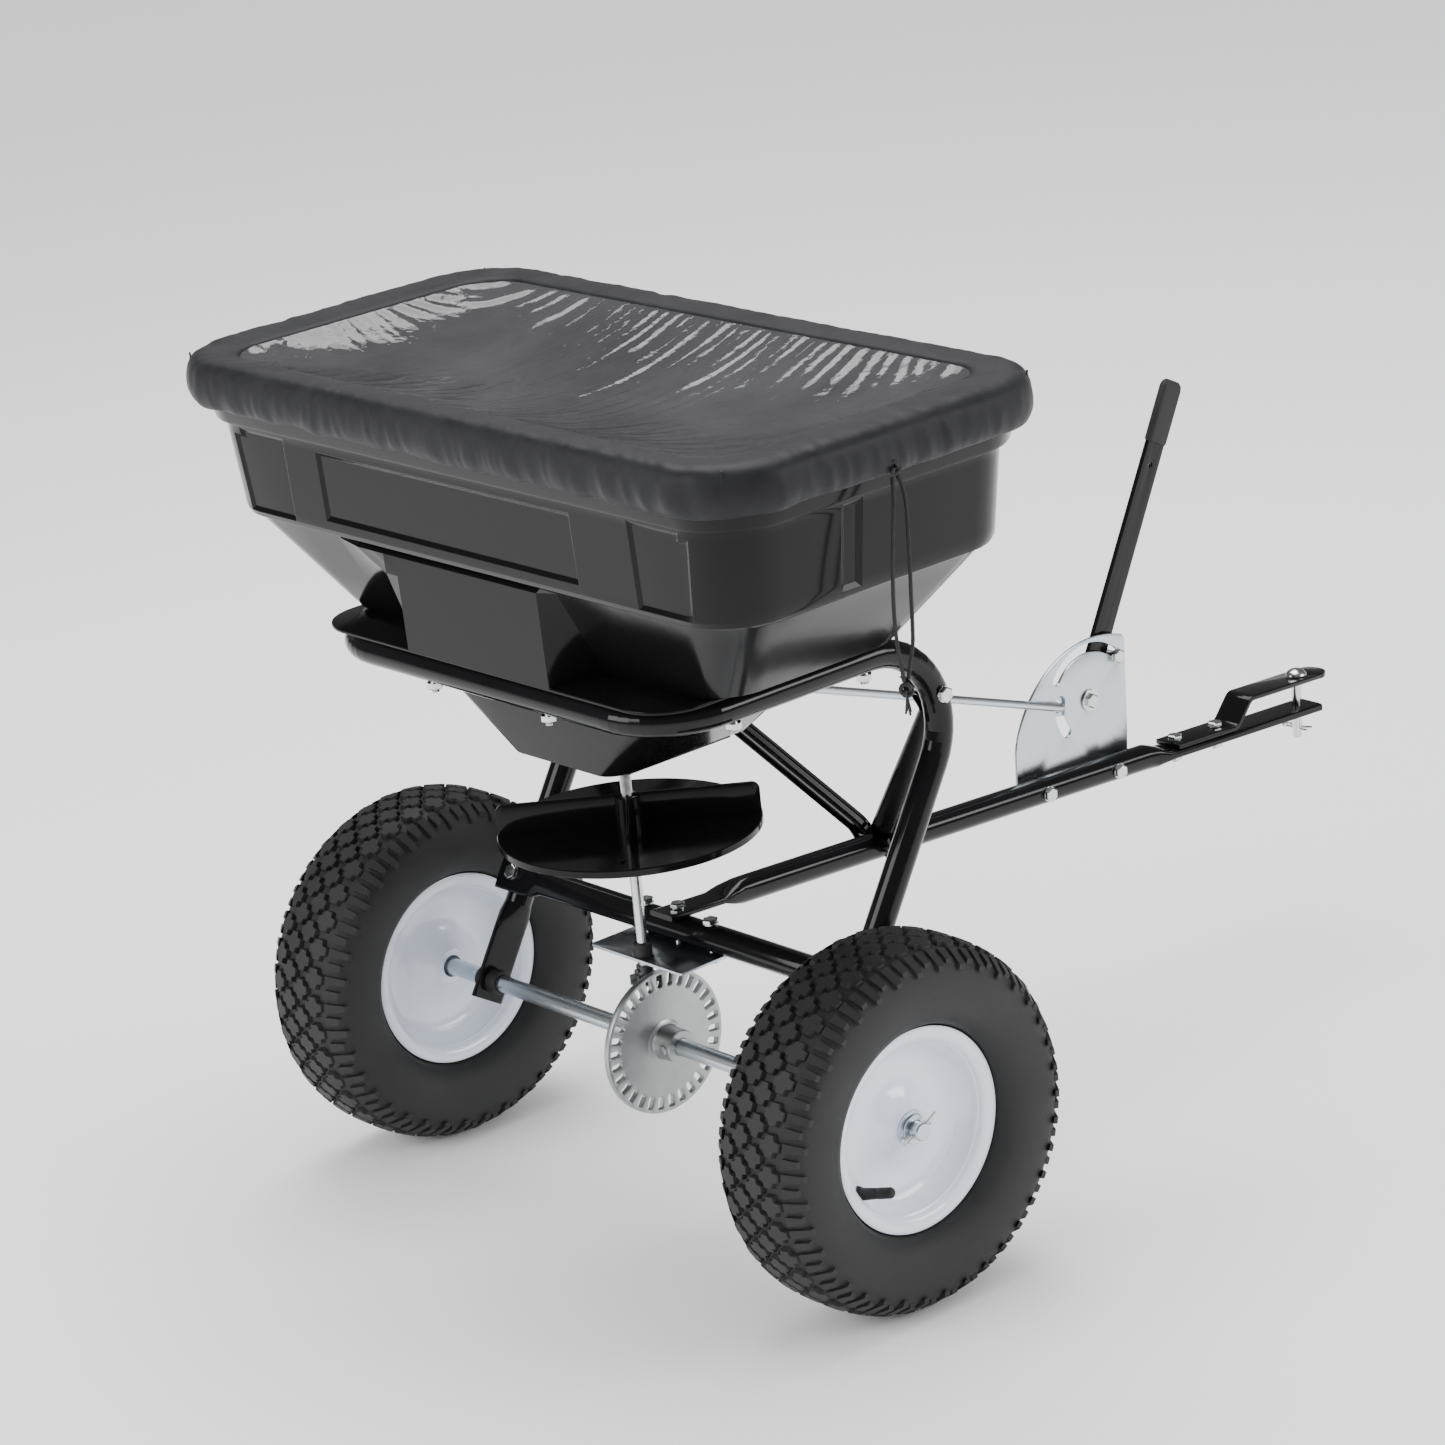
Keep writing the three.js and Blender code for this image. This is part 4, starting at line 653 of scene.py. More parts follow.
def rim_profile():
    outer = RIM_HALF + [(10.5, 25), (10.5, -25)]
    inner = [(r, -y) for r, y in reversed(RIM_HALF)]
    barrel = [(r, -y) for r, y in BARREL] + [(r, y) for r, y in reversed(BARREL)]
    return outer + inner + barrel


for name, side in sides:
    body = "drive_axle" if side > 0 else "free_wheel"
    hub = Vector((0, side * TRACK / 2, WHEEL_R))
    bm = bmesh.new()
    lathe(bm, rim_profile(), hub, (0, side, 0), 96)
    piece(f"{name}_pressed_rim", bm, body, "rim_paint", [f"{name}_rim"], smooth=50)

    bm = bmesh.new()
    stem_turn = math.radians(219)
    out_dir = Vector((math.cos(stem_turn), 0, math.sin(stem_turn)))
    foot = hub + out_dir * 71 + Vector((0, side * 12, 0))
    lean = (Vector((0, side, 0)) - out_dir * 0.35).normalized()
    disc(bm, foot, lean, 7.6, 4, 28, top=6.4)
    disc(bm, foot + lean * 4, lean, 5.6, 18, 28, top=4.7)
    disc(bm, foot + lean * 22, lean, 5.0, 13, 28, top=4.9)
    disc(bm, foot + lean * 35, lean, 4.9, 2, 28, top=3.4)
    soften(bm, 0.5, 2, 40)
    piece(f"{name}_valve_stem", bm, body, "grip_vinyl")
print("rims and valve stems made")

# %% [markdown]
# ## Hopper
# The hopper is one plastic moulding. Its outside is lofted from rounded rectangles, one for each level,
# and the wall is then thickened inwards. The sunk panels are cut in with straight planes first, so that
# each panel has its own faces, and then inset and pushed in.

# %% Hopper shell
HOPPER_X = 12
LEVELS = [  # half length, half width, corner radius, height
    (180, 369, 64, 780), (182.5, 371.5, 66, 780), (182.5, 371.5, 66, 774), (180.5, 369.5, 65, 771),
    (175.2, 363.4, 63.3, 732), (173.6, 361.8, 62.6, 729), (169, 355, 58.5, 728), (168, 353.5, 58, 725),
    (163.6, 343.4, 56.3, 648), (161, 341, 55, 643), (156, 335.5, 52.5, 641.4), (154, 332, 52, 638),
    (109, 258, 44, 555), (106.5, 240, 40, 552.2), (105.5, 206, 34, 549.6), (83, 70, 18, 444)]
CORNER_STEPS = 8


def rounded_loop(half_x, half_y, r):
    """Corner arcs only, counter-clockwise from the front left."""
    points = []
    for k, (sx, sy) in enumerate(((1, 1), (-1, 1), (-1, -1), (1, -1))):
        centre = (HOPPER_X + sx * (half_x - r), sy * (half_y - r))
        points += arc(r, k * math.pi / 2, (k + 1) * math.pi / 2, CORNER_STEPS, centre)
    return points


def loft(bm, levels):
    rings = []
    for half_x, half_y, r, z in levels:
        rings.append([bm.verts.new((x, y, z)) for x, y in rounded_loop(half_x, half_y, r)])
    faces = []
    for a, b in zip(rings, rings[1:]):
        for i in range(len(a)):
            faces.append(bm.faces.new((a[i - 1], a[i], b[i], b[i - 1])))
    faces.append(bm.faces.new(rings[-1]))
    return faces


def slice_at(bm, point, normal):
    geom = [*bm.verts, *bm.edges, *bm.faces]
    bmesh.ops.bisect_plane(bm, geom=geom, dist=0.01, plane_co=point, plane_no=normal)


def sink(bm, test, depth, slope_width):
    """Insets the faces that pass a test as one region and moves the middle inwards."""
    faces = [f for f in bm.faces if test(f.calc_center_median(), f.normal)]
    if not faces:
        print("no faces to sink")
        return
    bmesh.ops.inset_region(bm, faces=faces, thickness=slope_width, depth=-depth, use_even_offset=True)


bm = bmesh.new()
loft(bm, LEVELS)
bmesh.ops.recalc_face_normals(bm, faces=bm.faces)
if sum(f.normal.dot(f.calc_center_median() - Vector((HOPPER_X, 0, 660))) for f in bm.faces) < 0:
    bmesh.ops.reverse_faces(bm, faces=bm.faces)
REAR = HOPPER_X - 168
NAME_PANEL = (-158, 186, 656, 719)  # low y, high y, low z, high z
for y in (NAME_PANEL[0], NAME_PANEL[1], -112, -96, 96, 112, 150, 182, 232, -232):
    slice_at(bm, (0, y, 0), (0, 1, 0))
for z in (NAME_PANEL[2], NAME_PANEL[3], 620, 590, 568):
    slice_at(bm, (0, 0, z), (0, 0, 1))
for x in (-31, -8, 44):
    slice_at(bm, (x, 0, 0), (1, 0, 0))


# The rear wall runs straight down over the slope, like an apron, wider at its top left.
def apron_reach(z):
    low, high = 96, 96 + 86 * max(0.0, min(1.0, (z - 590) / 50)) ** 2
    return low, high


for v in bm.verts:
    x, y, z = v.co
    if x < HOPPER_X - 60 and 551 < z < 641 and -97 < y < 151:
        low, high = apron_reach(z)
        if -low - 1 <= y <= high:
            v.co.x = HOPPER_X - 163.6 + (648 - z) * 0.035 + 1.5
rear_wall = lambda c, n: n.x < -0.9
sink(bm, lambda c, n: rear_wall(c, n) and NAME_PANEL[0] < c.y < NAME_PANEL[1]
     and NAME_PANEL[2] < c.z < NAME_PANEL[3], 2.6, 4)
sink(bm, lambda c, n: rear_wall(c, n) and 232 < c.y < 300 and 648 < c.z < 726, 2.4, 4)
sink(bm, lambda c, n: rear_wall(c, n) and -300 < c.y < -232 and 648 < c.z < 726, 2.4, 4)
sink(bm, lambda c, n: n.y < -0.9 and -31 < c.x < -8 and 648 < c.z < 726, 3.0, 5)
sink(bm, lambda c, n: n.y > 0.9 and -31 < c.x < -8 and 648 < c.z < 726, 3.0, 5)
bmesh.ops.dissolve_degenerate(bm, edges=bm.edges, dist=0.05)
hopper = piece("hopper_shell", bm, "root", "black_plastic", ["hopper"], smooth=30, tidy=False)
bevel = hopper.modifiers.new("edges", "BEVEL")
bevel.width, bevel.segments, bevel.limit_method, bevel.angle_limit = 0.0018, 3, "ANGLE", math.radians(24)
wall = hopper.modifiers.new("wall", "SOLIDIFY")
wall.thickness, wall.offset = 0.003, -1

bm = bmesh.new()
ledge = [(x, y) for x, y in rounded_loop(HOPPER_X + 146, 238, 46)]
ledge_outline = [(x if x < HOPPER_X else min(x, 112), y) for x, y in ledge]
plate(bm, ledge_outline, 3, lie=Matrix.Translation((0, 0, 550.0)))
soften(bm, 0.8, 2, 60)
piece("hopper_ledge", bm, "root", "black_plastic")
print("hopper lofted through", len(LEVELS), "levels")

# %% [markdown]
# ## Fasteners
# All bolts share one size, M8, so one function makes a whole set: a hexagon head with a chamfered top,
# the plain shank, a nut and a few turns of thread standing out of it. The positions repeat the frame's
# own layout, and each set replaces the plain bolt of the same name.


# %% Bolts and nuts
HEX_R, BOLT_R, PITCH = 7.4, 4.0, 1.25
CHAMFER_DRAW = 0.84  # how far the end of a hexagon is drawn in


def hexagon(bm, at, direction, height, radius=HEX_R, chamfer=0.9):
    """A hexagonal prism whose far end is drawn in like a turned chamfer."""
    lie = along(direction, at)
    outline = [(radius * math.cos(k * math.pi / 3), radius * math.sin(k * math.pi / 3)) for k in range(6)]
    verts = [bm.verts.new((x, y, 0)) for x, y in outline]
    face = bm.faces.new(verts)
    bmesh.ops.transform(bm, matrix=lie, verts=verts)
    grown = bmesh.ops.extrude_face_region(bm, geom=[face])["geom"]
    top = next(g for g in grown if isinstance(g, bmesh.types.BMFace))
    bmesh.ops.translate(bm, verts=top.verts, vec=lie.to_3x3() @ Vector((0, 0, height - chamfer)))
    grown = bmesh.ops.extrude_face_region(bm, geom=[top])["geom"]
    cap = next(g for g in grown if isinstance(g, bmesh.types.BMFace))
    middle = lie @ Vector((0, 0, height))
    for v in cap.verts:
        lifted = v.co + lie.to_3x3() @ Vector((0, 0, chamfer))
        v.co = middle + (lifted - middle) * CHAMFER_DRAW


def threaded(bm, at, direction, length, radius=BOLT_R):
    profile = [(0.0, 0.0)]
    turns = max(1, int(length / PITCH))
    for k in range(turns):
        profile += [(radius, k * PITCH + 0.15), (radius - 0.65, k * PITCH + PITCH / 2 + 0.15)]
    profile += [(radius - 0.5, length), (0.0, length)]
    lathe(bm, profile, at, direction, 20)


def bolt(name, at, axis, grip, placed=CHASSIS, head=5.0, nut=6.0, tail=3.0, washer=0.0, body="root"):
    at, axis = Vector(at), Vector(axis).normalized()
    bm = bmesh.new()
    disc(bm, at - axis * 0.9, axis, HEX_R * 0.97, 0.9, 28)
    hexagon(bm, at - axis * 0.9, -axis, head - 0.9)
    disc(bm, at - axis * 0.1, axis, BOLT_R, grip + 0.2, 20)
    hexagon(bm, at + axis * grip, axis, nut)
    threaded(bm, at + axis * (grip + nut - 0.2), axis, tail + 0.2)
    if washer:
        disc(bm, at - axis * 1.6, axis, washer, 1.5, 36)
    edges = [e for e in bm.edges if e.is_manifold and e.calc_face_angle(0) > 0.9 and e.calc_length() > 3]
    bmesh.ops.bevel(bm, geom=edges, offset=0.25, affect="EDGES", segments=1, profile=0.5, material=-1)
    return piece(name + "_set", bm, body, "bolt_steel", [name], placed=placed, smooth=28)


DOWN = Vector((0, 0, -1))
RING_BOLTS = [(x, s * y) for x, y in ((-136, 78), (-60, 227), (88, 227)) for s in (1, -1)]
for number, (x, y) in enumerate(RING_BOLTS, 1):
    bolt(f"hopper_bolt_{number}", (x, y, 555.8), DOWN, 31.8)
BEND_BOLT = Vector((165.2, 0, 485.6))
PLATE_TOP = cross_at.z - TUBE_R - 0.3
for name, side in sides:
    bolt(f"{name}_cross_bolt", on_leg(100.6, -18.3, side * SIDE), LEG_OUT, 31.3)
    bolt(f"{name}_plate_bolt", (cross_at.x, side * 44, cross_at.z + 13), DOWN, 28.9, tail=2)
    bolt(f"{name}_brace_bolt", (BEND_BOLT.x, side * (SIDE + 13), BEND_BOLT.z), (0, -side, 0), 32.3, tail=2)
bolt("tongue_bolt", (0, 0, 2.8), DOWN, 35.1, DRAWBAR, tail=2)
bolt("brace_foot_bolt", (246, -19.3, 0), (0, 1, 0), 38.6, DRAWBAR, tail=2)
for number, x in enumerate((452, 546), 1):
    bolt(f"control_bolt_{number}", (x, -13, 0), (0, 1, 0), 29.3, DRAWBAR)
for number, x in enumerate((636, 692), 1):
    bolt(f"strap_bolt_{number}", (x, 0, 7.6), DOWN, 13.9, DRAWBAR, tail=2)
PIVOT_X, PIVOT_Z = 535, 68
bolt("lever_pivot", (PIVOT_X, 12.7, PIVOT_Z), (0, 1, 0), 12.5, DRAWBAR, tail=2, washer=10.5)
print("fasteners placed:", len(RING_BOLTS) + 12)

# %% [markdown]
# ## Braces, bearing plate and bushings
# Each brace is a flat steel strip with two stiffening ribs pressed along it. Its section is drawn with
# the ribs in place and then swept, so the ribs run the full length and turn with the bends.


# %% Braces
def ribbed_section(width, thickness):
    top = [(-width / 2, thickness / 2), (-6.5, thickness / 2), (-5.2, thickness / 2 - 1.3),
           (-3.4, thickness / 2 - 1.3),
           (-2.1, thickness / 2), (2.1, thickness / 2), (3.4, thickness / 2 - 1.3),
           (5.2, thickness / 2 - 1.3),
           (6.5, thickness / 2), (width / 2, thickness / 2)]
    return [(-y, x) for x, y in reversed(top + [(x, -y) for x, y in reversed(top)])]


brace_foot = (CHASSIS.inverted() @ DRAWBAR) @ Vector((246, 0, 0))
brace_run = Vector((BEND_BOLT.x - brace_foot.x, 0, BEND_BOLT.z - brace_foot.z))
brace_dir = brace_run.normalized()
for name, side in sides:
    low_y, high_y = side * (TUBE_R + 3.3), side * (SIDE - TUBE_R - 3.3)
    at = [(-13, low_y), (22, low_y), (brace_run.length - 26, high_y), (brace_run.length + 17, high_y)]
    points = [brace_foot + brace_dir * reach + Vector((0, y, 0)) for reach, y in at]
    bm = bmesh.new()
    across = brace_dir.cross(Vector((0, 1, 0)))
    sweep(bm, stations(points, 14, 5), [(y, x) for x, y in ribbed_section(6, 20)], flat=across)
    soften(bm, 0.5, 1, 60)
    piece(f"{name}_ribbed_brace", bm, "root", "black_paint", [f"{name}_brace"])
print("braces", round(brace_run.length), "mm between bolts")

# %% Bearing plate and bushings
bm = bmesh.new()
plate_outline = [p for k, (x, y) in enumerate(((56, 58), (-6, 58), (-6, -58), (56, -58)))
                 for p in arc(4, k * math.pi / 2, (k + 1) * math.pi / 2, 5, (x, y))]
plate(bm, plate_outline, 2.6, [circle(6.8, 24)], lie=Matrix.Translation((0, 0, PLATE_TOP - 2.6)))
soften(bm, 0.4, 2, 60)
piece("zinc_bearing_plate", bm, "root", "zinc_plate", ["bearing_plate"])

bm = bmesh.new()
lathe(bm, [(5.5, PLATE_TOP - 5.6), (6.2, PLATE_TOP - 5.6), (6.2, PLATE_TOP + 0.3), (8.2, PLATE_TOP + 0.3),
           (8.2, PLATE_TOP + 11.6), (7.2, PLATE_TOP + 12.8), (5.5, PLATE_TOP + 12.8)], (0, 0, 0), (0, 0, 1),
      40)
piece("nylon_shaft_bushing", bm, "root", "grip_vinyl", ["shaft_bushing"])
for name, side in sides:
    bm = bmesh.new()
    lathe(bm, [(8.4, -14), (11.0, -14), (11.5, -13.4), (11.5, 2.8), (15.4, 2.8), (15.5, 3.2), (15.4, 5.9),
               (11.5, 6), (11.5, 12.5), (11, 13), (8.4, 13)],
          (0, side * SIDE, WHEEL_R), (0, side, 0), 48)
    piece(f"{name}_nylon_axle_bushing", bm, "root", "grip_vinyl", [f"{name}_axle_bushing"])
print("bearing plate top at", round(PLATE_TOP, 1))

# %% [markdown]
# ## Axle, gear and wheel fittings
# The face gear is a cast disc with a ring of radial slots. Its outline and slots are filled as one flat
# sheet and thickened, so every slot is really open. The hub, washers and pins are lathed.

# %% Axle and its pins
AXLE_R, AXLE_HALF, HUB_END = 8.0, 352, 337
bm = bmesh.new()
lathe(bm, [(0, -AXLE_HALF), (7.2, -AXLE_HALF), (AXLE_R, -AXLE_HALF + 0.9), (AXLE_R, AXLE_HALF - 0.9),
           (7.2, AXLE_HALF), (0, AXLE_HALF)], (0, 0, WHEEL_R), (0, 1, 0), 48)
piece("zinc_axle", bm, "drive_axle", "zinc_plate", ["axle"], smooth=40)


def cotter(bm, at, through, away, reach=17, wire_r=1.15):
    """A split pin: an eye on one side, two legs through the hole, spread a little past it."""
    at, through, away = Vector(at), Vector(through).normalized(), Vector(away).normalized()
    for s in (1, -1):
        leg = [at - through * 9 + away * s * 1.1, at + through * 8.8 + away * s * 1.1,
               at + through * (reach - 3) + away * s * 4.0, at + through * (reach + 1) + away * s * 7.5]
        sweep(bm, stations(leg, 3, 4), circle(wire_r, 10))
    ring = [at - through * 9 + away * 1.1, at - through * 12 + away * 3.6, at - through * 16 + away * 3.8,
            at - through * 18.4, at - through * 16 - away * 3.8, at - through * 12 - away * 3.6,
            at - through * 9 - away * 1.1]
    sweep(bm, stations(ring, 2.2, 4), circle(wire_r, 10))


bm = bmesh.new()
cotter(bm, (0, -346, WHEEL_R), (0.94, 0, 0.34), (0, -0.5, 0.87))
piece("split_cotter", bm, "drive_axle", "bolt_steel", ["axle_cotter"])

bm = bmesh.new()
pin_y = TRACK / 2 + 25 - 9
disc(bm, (-22, pin_y, WHEEL_R), (1, 0, 0), 3, 44, 20)
disc(bm, (17, pin_y, WHEEL_R), (1, 0, 0), 6, 3.2, 28)
soften(bm, 0.4, 2, 50)
piece("wheel_drive_pin", bm, "drive_axle", "bolt_steel", ["drive_pin"])

for name, out in (("outer", -1), ("inner", 1)):
    bm = bmesh.new()
    lathe(bm, [(8.3, 11.5), (13, 11.5), (13, 25.3), (15.6, 25.4), (16, 25.9), (15.6, 27.5), (13.4, 27.6),
               (12.9, 28.2),
               (8.9, 28.2), (8.3, 27.6)], (0, -TRACK / 2, WHEEL_R), (0, out, 0), 48)
    if out < 0:
        lathe(bm, [(8.4, 28.5), (12.6, 28.5), (12.8, 28.8), (12.6, 30.2), (8.4, 30.2)],
              (0, -TRACK / 2, WHEEL_R), (0, out, 0), 40)
    piece(f"{name}_flanged_bearing", bm, "free_wheel", "zinc_plate", [f"{name}_wheel_bearing"], smooth=40)
print("axle", 2 * AXLE_HALF, "mm long")

# %% Drive gear
GEAR_FACE, GEAR_THICK, GEAR_TEETH = -12.6, 6.0, 30


def slot_outline(turn, inner, outer, half, steps=6):
    """A radial slot with a round inner end and a nearly square outer end."""
    outline = [(outer, -half + 0.8), (outer, half - 0.8), (outer - 0.8, half), (inner + half, half)]
    outline += [(inner + half - half * math.sin(math.pi * k / steps), half * math.cos(math.pi * k / steps))
                for k in range(1, steps)]
    outline += [(inner + half, -half), (outer - 0.8, -half)]
    c, s = math.cos(turn), math.sin(turn)
    return [(x * c - y * s, x * s + y * c) for x, y in outline]


slots = [slot_outline(math.pi / 2 + k * 2 * math.pi / GEAR_TEETH, 50.5, 63, 3.2) for k in range(GEAR_TEETH)]
gear_lie = along((0, -1, 0), (0, GEAR_FACE, WHEEL_R), (1, 0, 0))
bm = bmesh.new()
plate(bm, circle(66.3, 120), GEAR_THICK, slots, lie=gear_lie)
soften(bm, 0.45, 2, 50)
piece("cast_face_gear", bm, "drive_axle", "cast_gear", ["drive_gear"], smooth=40)

bm = bmesh.new()
lathe(bm, [(8.2, 0), (20.5, 0), (19.6, 0.6), (16.6, 1.6), (15.6, 3.4), (15.3, 21.4), (14.6, 22.2),
           (8.2, 22.2)],
      (0, GEAR_FACE - GEAR_THICK, WHEEL_R), (0, -1, 0), 56)
hub_pin_y = GEAR_FACE - GEAR_THICK - 22 + 8
disc(bm, (-15.2, hub_pin_y, WHEEL_R), (-1, 0, 0), 4.6, 1.2, 28, top=4.0)
disc(bm, (15.2, hub_pin_y, WHEEL_R), (1, 0, 0), 2.6, 3.4, 20, top=2.2)
soften(bm, 0.3, 1, 60)
piece("gear_hub", bm, "drive_axle", "cast_gear", smooth=40)
print("gear slots:", len(slots))

# %% [markdown]
# ## Spinner
# The pinion drops its six teeth into the gear's slots and turns the shaft, the impeller that throws the
# seed and the agitator in the hopper's throat.

# %% Shaft, pinion and agitator
bm = bmesh.new()
lathe(bm, [(0, 214), (4.3, 214), (5, 214.8), (5, 511), (4.2, 512), (0, 512)], (0, 0, 0), (0, 0, 1), 40)
piece("bright_spinner_shaft", bm, "spinner", "bolt_steel", ["spinner_shaft"], smooth=40)

bm = bmesh.new()
tooth = 2 * math.pi / 6
star = []
for k in range(6):
    middle = -math.pi / 2 + k * tooth
    for r, turn in ((9, -0.36), (10.2, -0.27), (13.4, -0.14), (14.3, -0.09), (14.4, 0), (14.3, 0.09),
                    (13.4, 0.14),
                    (10.2, 0.27), (9, 0.36)):
        star.append((r * math.cos(middle + turn * tooth), r * math.sin(middle + turn * tooth)))
plate(bm, star, 9, [circle(5.3, 24)], lie=Matrix.Translation((0, 0, WHEEL_R + 56.75 - 4.5)))
soften(bm, 0.4, 2, 40)
lathe(bm, [(5.3, 0), (7.8, 0), (7.8, 7.6), (7.0, 8.4), (5.3, 8.4)], (0, 0, WHEEL_R + 61.3), (0, 0, 1), 32)
disc(bm, (-9.4, 0, WHEEL_R + 65.5), (1, 0, 0), 2.1, 18.8, 16)
piece("sintered_pinion_gear", bm, "spinner", "sintered_pinion", ["pinion"], smooth=40)

bm = bmesh.new()
rod_route = stations([(-42, 0, 464), (-42, 0, 478), (42, 0, 478), (42, 0, 490)], 4, 5)
sweep(bm, rod_route, circle(3, 16))
soften(bm, 0.5, 2, 60)
piece("bent_agitator_rod", bm, "spinner", "zinc_plate", ["agitator"])
print("pinion teeth:", 6)

# %% Impeller
IMPELLER_R, IMPELLER_Z, FIN_H = 117.5, 367.5, 29.0
bm = bmesh.new()
lathe(bm, [(5.2, IMPELLER_Z - 3), (114, IMPELLER_Z - 3), (114.4, IMPELLER_Z - 7), (116.9, IMPELLER_Z - 7),
           (117.5, IMPELLER_Z - 6.4), (117.5, IMPELLER_Z - 1), (116.7, IMPELLER_Z), (5.2, IMPELLER_Z)],
      (0, 0, 0), (0, 0, 1), 128)
lathe(bm, [(5.3, IMPELLER_Z - 7), (11.6, IMPELLER_Z - 7), (12.4, IMPELLER_Z - 6.2), (11.0, IMPELLER_Z + 26.2),
           (10.4, IMPELLER_Z + 26.9), (5.3, IMPELLER_Z + 26.9)], (0, 0, 0), (0, 0, 1), 48)
wall = [(-IMPELLER_R + 1, 0), (IMPELLER_R - 1, 0)]
wall += arc(7, 0, math.pi / 2, 7, (IMPELLER_R - 8, FIN_H - 7))
wall += arc(7, math.pi / 2, math.pi, 7, (-IMPELLER_R + 8, FIN_H - 7))
for turn in (math.radians(-40), math.radians(50)):
    face = Vector((-math.sin(turn), math.cos(turn), 0))
    fin = bmesh.new()
    plate(fin, wall, 2.8, lie=Matrix.Translation((0, 0, IMPELLER_Z - 0.6)) @ Matrix.Rotation(turn, 4, "Z")
          @ Matrix.Rotation(math.pi / 2, 4, "X") @ Matrix.Translation((0, 0, -1.4)))
    soften(fin, 0.7, 2, 60)
    mesh = bpy.data.meshes.new("fin")
    fin.to_mesh(mesh)
    fin.free()
    bm.from_mesh(mesh)
    bpy.data.meshes.remove(mesh)
    for end in (1, -1):
        foot = Vector((math.cos(turn), math.sin(turn), 0)) * end * 96
        disc(bm, foot + face * 8 + Vector((0, 0, IMPELLER_Z)), (0, 0, 1), 3.4, 1.6, 20, top=2.2)
disc(bm, (0, -12.5, IMPELLER_Z + 13), (0, 1, 0), 3.2, 25, 20)
piece("moulded_impeller", bm, "spinner", "black_plastic", ["impeller"], smooth=35)
print("impeller", 2 * IMPELLER_R, "mm across")

# %% [markdown]
# ## Gate, link rod and lever
# The lever turns a short arm, the arm pushes the rod, and the rod slides the gate under the hopper. The
# rod's two bends are real arcs, and its bent end goes through the plate's slot into the arm.

# %% Flow gate, guide and link rod
GATE_TOP = 442.5
bm = bmesh.new()
port = [(-6.5, -14), (6.5, -14), (6.5, 14), (-6.5, 14)]
gate_outline = [(-34, -50), (82, -50), (84, -48), (84, -4), (86, -2), (213, -2), (215, 0), (215, 16),
                (213, 18),
                (86, 18), (84, 20), (84, 48), (82, 50), (-34, 50), (-36, 48), (-36, -48)]
gate_holes = [[(28 + x, s * 26 + y) for x, y in port] for s in (1, -1)]
gate_holes += [[(-22, -6.2), (8, -6.2), (8, 6.2), (-22, 6.2)], circle(4.9, 20, (205, 8))]
plate(bm, gate_outline, 3, gate_holes, lie=Matrix.Translation((0, 0, GATE_TOP - 3)))
soften(bm, 0.4, 1, 60)
piece("zinc_flow_gate", bm, "gate", "zinc_plate", ["flow_gate"])

bm = bmesh.new()
GUIDE_TOP = GATE_TOP - 3.5
guide_outline = [(-42, -58), (76, -58), (76, 58), (-42, 58)]
guide_holes = [[(28 + x * 1.3, s * 26 + y * 1.14) for x, y in port] for s in (1, -1)] + [circle(6.4, 24)]
plate(bm, guide_outline, 2, guide_holes, lie=Matrix.Translation((0, 0, GUIDE_TOP - 2)))
for s in (1, -1):
    low_y, high_y = sorted((s * 50.6, s * 58))
    block(bm, (-42, low_y, GUIDE_TOP - 0.2), (76, high_y, 443.6))
soften(bm, 0.4, 1, 60)
piece("moulded_gate_guide", bm, "root", "black_plastic", ["gate_guide"])

ROD_PIN = Vector((PIVOT_X + 39.6 * math.cos(math.radians(176.7)), 0,
                  PIVOT_Z + 39.6 * math.sin(math.radians(176.7))))
rod_pin = (CHASSIS.inverted() @ DRAWBAR) @ ROD_PIN
bm = bmesh.new()
rod_route = stations([(205, 8, 448), (205, 8, 433.5), (rod_pin.x, 8, rod_pin.z),
                      (rod_pin.x, 23.3, rod_pin.z)], 6.5, 7)
sweep(bm, rod_route, circle(4, 24))
soften(bm, 0.7, 2, 60)
piece("bent_link_rod", bm, "rod", "zinc_plate", ["link_rod"])
print("link rod ends at", [round(v, 1) for v in rod_pin])

# %% Control plate
# The plate's outline and its two curved slots are arcs about the lever's pivot.


def curved_slot(radius, start, end, half, steps=22):
    """An arc slot about the pivot with round ends, as one closed outline."""
    a, b = math.radians(start), math.radians(end)
    outer = arc(radius + half, a, b, steps, (PIVOT_X, PIVOT_Z))
    far = (PIVOT_X + radius * math.cos(b), PIVOT_Z + radius * math.sin(b))
    near = (PIVOT_X + radius * math.cos(a), PIVOT_Z + radius * math.sin(a))
    inner = arc(radius - half, b, a, steps, (PIVOT_X, PIVOT_Z))
    return (outer + arc(half, b, b + math.pi, 8, far)[1:-1] + inner + arc(half, a + math.pi,
                                                                          a + 2 * math.pi, 8, near)[1:-1])


ARC_X, ARC_Z, ARC_R, PLATE_REAR, PLATE_FRONT = 545, 18, 111, 436, 584
top_z = ARC_Z + math.sqrt(ARC_R ** 2 - (PLATE_FRONT - 8 - ARC_X) ** 2)
start = math.asin((top_z - ARC_Z) / ARC_R)
end = math.acos((PLATE_REAR - ARC_X) / ARC_R)
outline = [(PLATE_REAR, -9), (PLATE_FRONT, -9), (PLATE_FRONT, top_z - 8)]
outline += arc(8, 0, start, 6, (PLATE_FRONT - 8, top_z - 8))[1:-1]
outline += arc(ARC_R, start, end, 30, (ARC_X, ARC_Z))
upright = along((0, 1, 0), (0, 13, 0), (1, 0, 0))


def standing(points):
    """Turns (along, up) points into the local axes of a plate that stands on edge."""
    local = upright.inverted()
    return [tuple((local @ Vector((x, 13, z)))[:2]) for x, z in points]


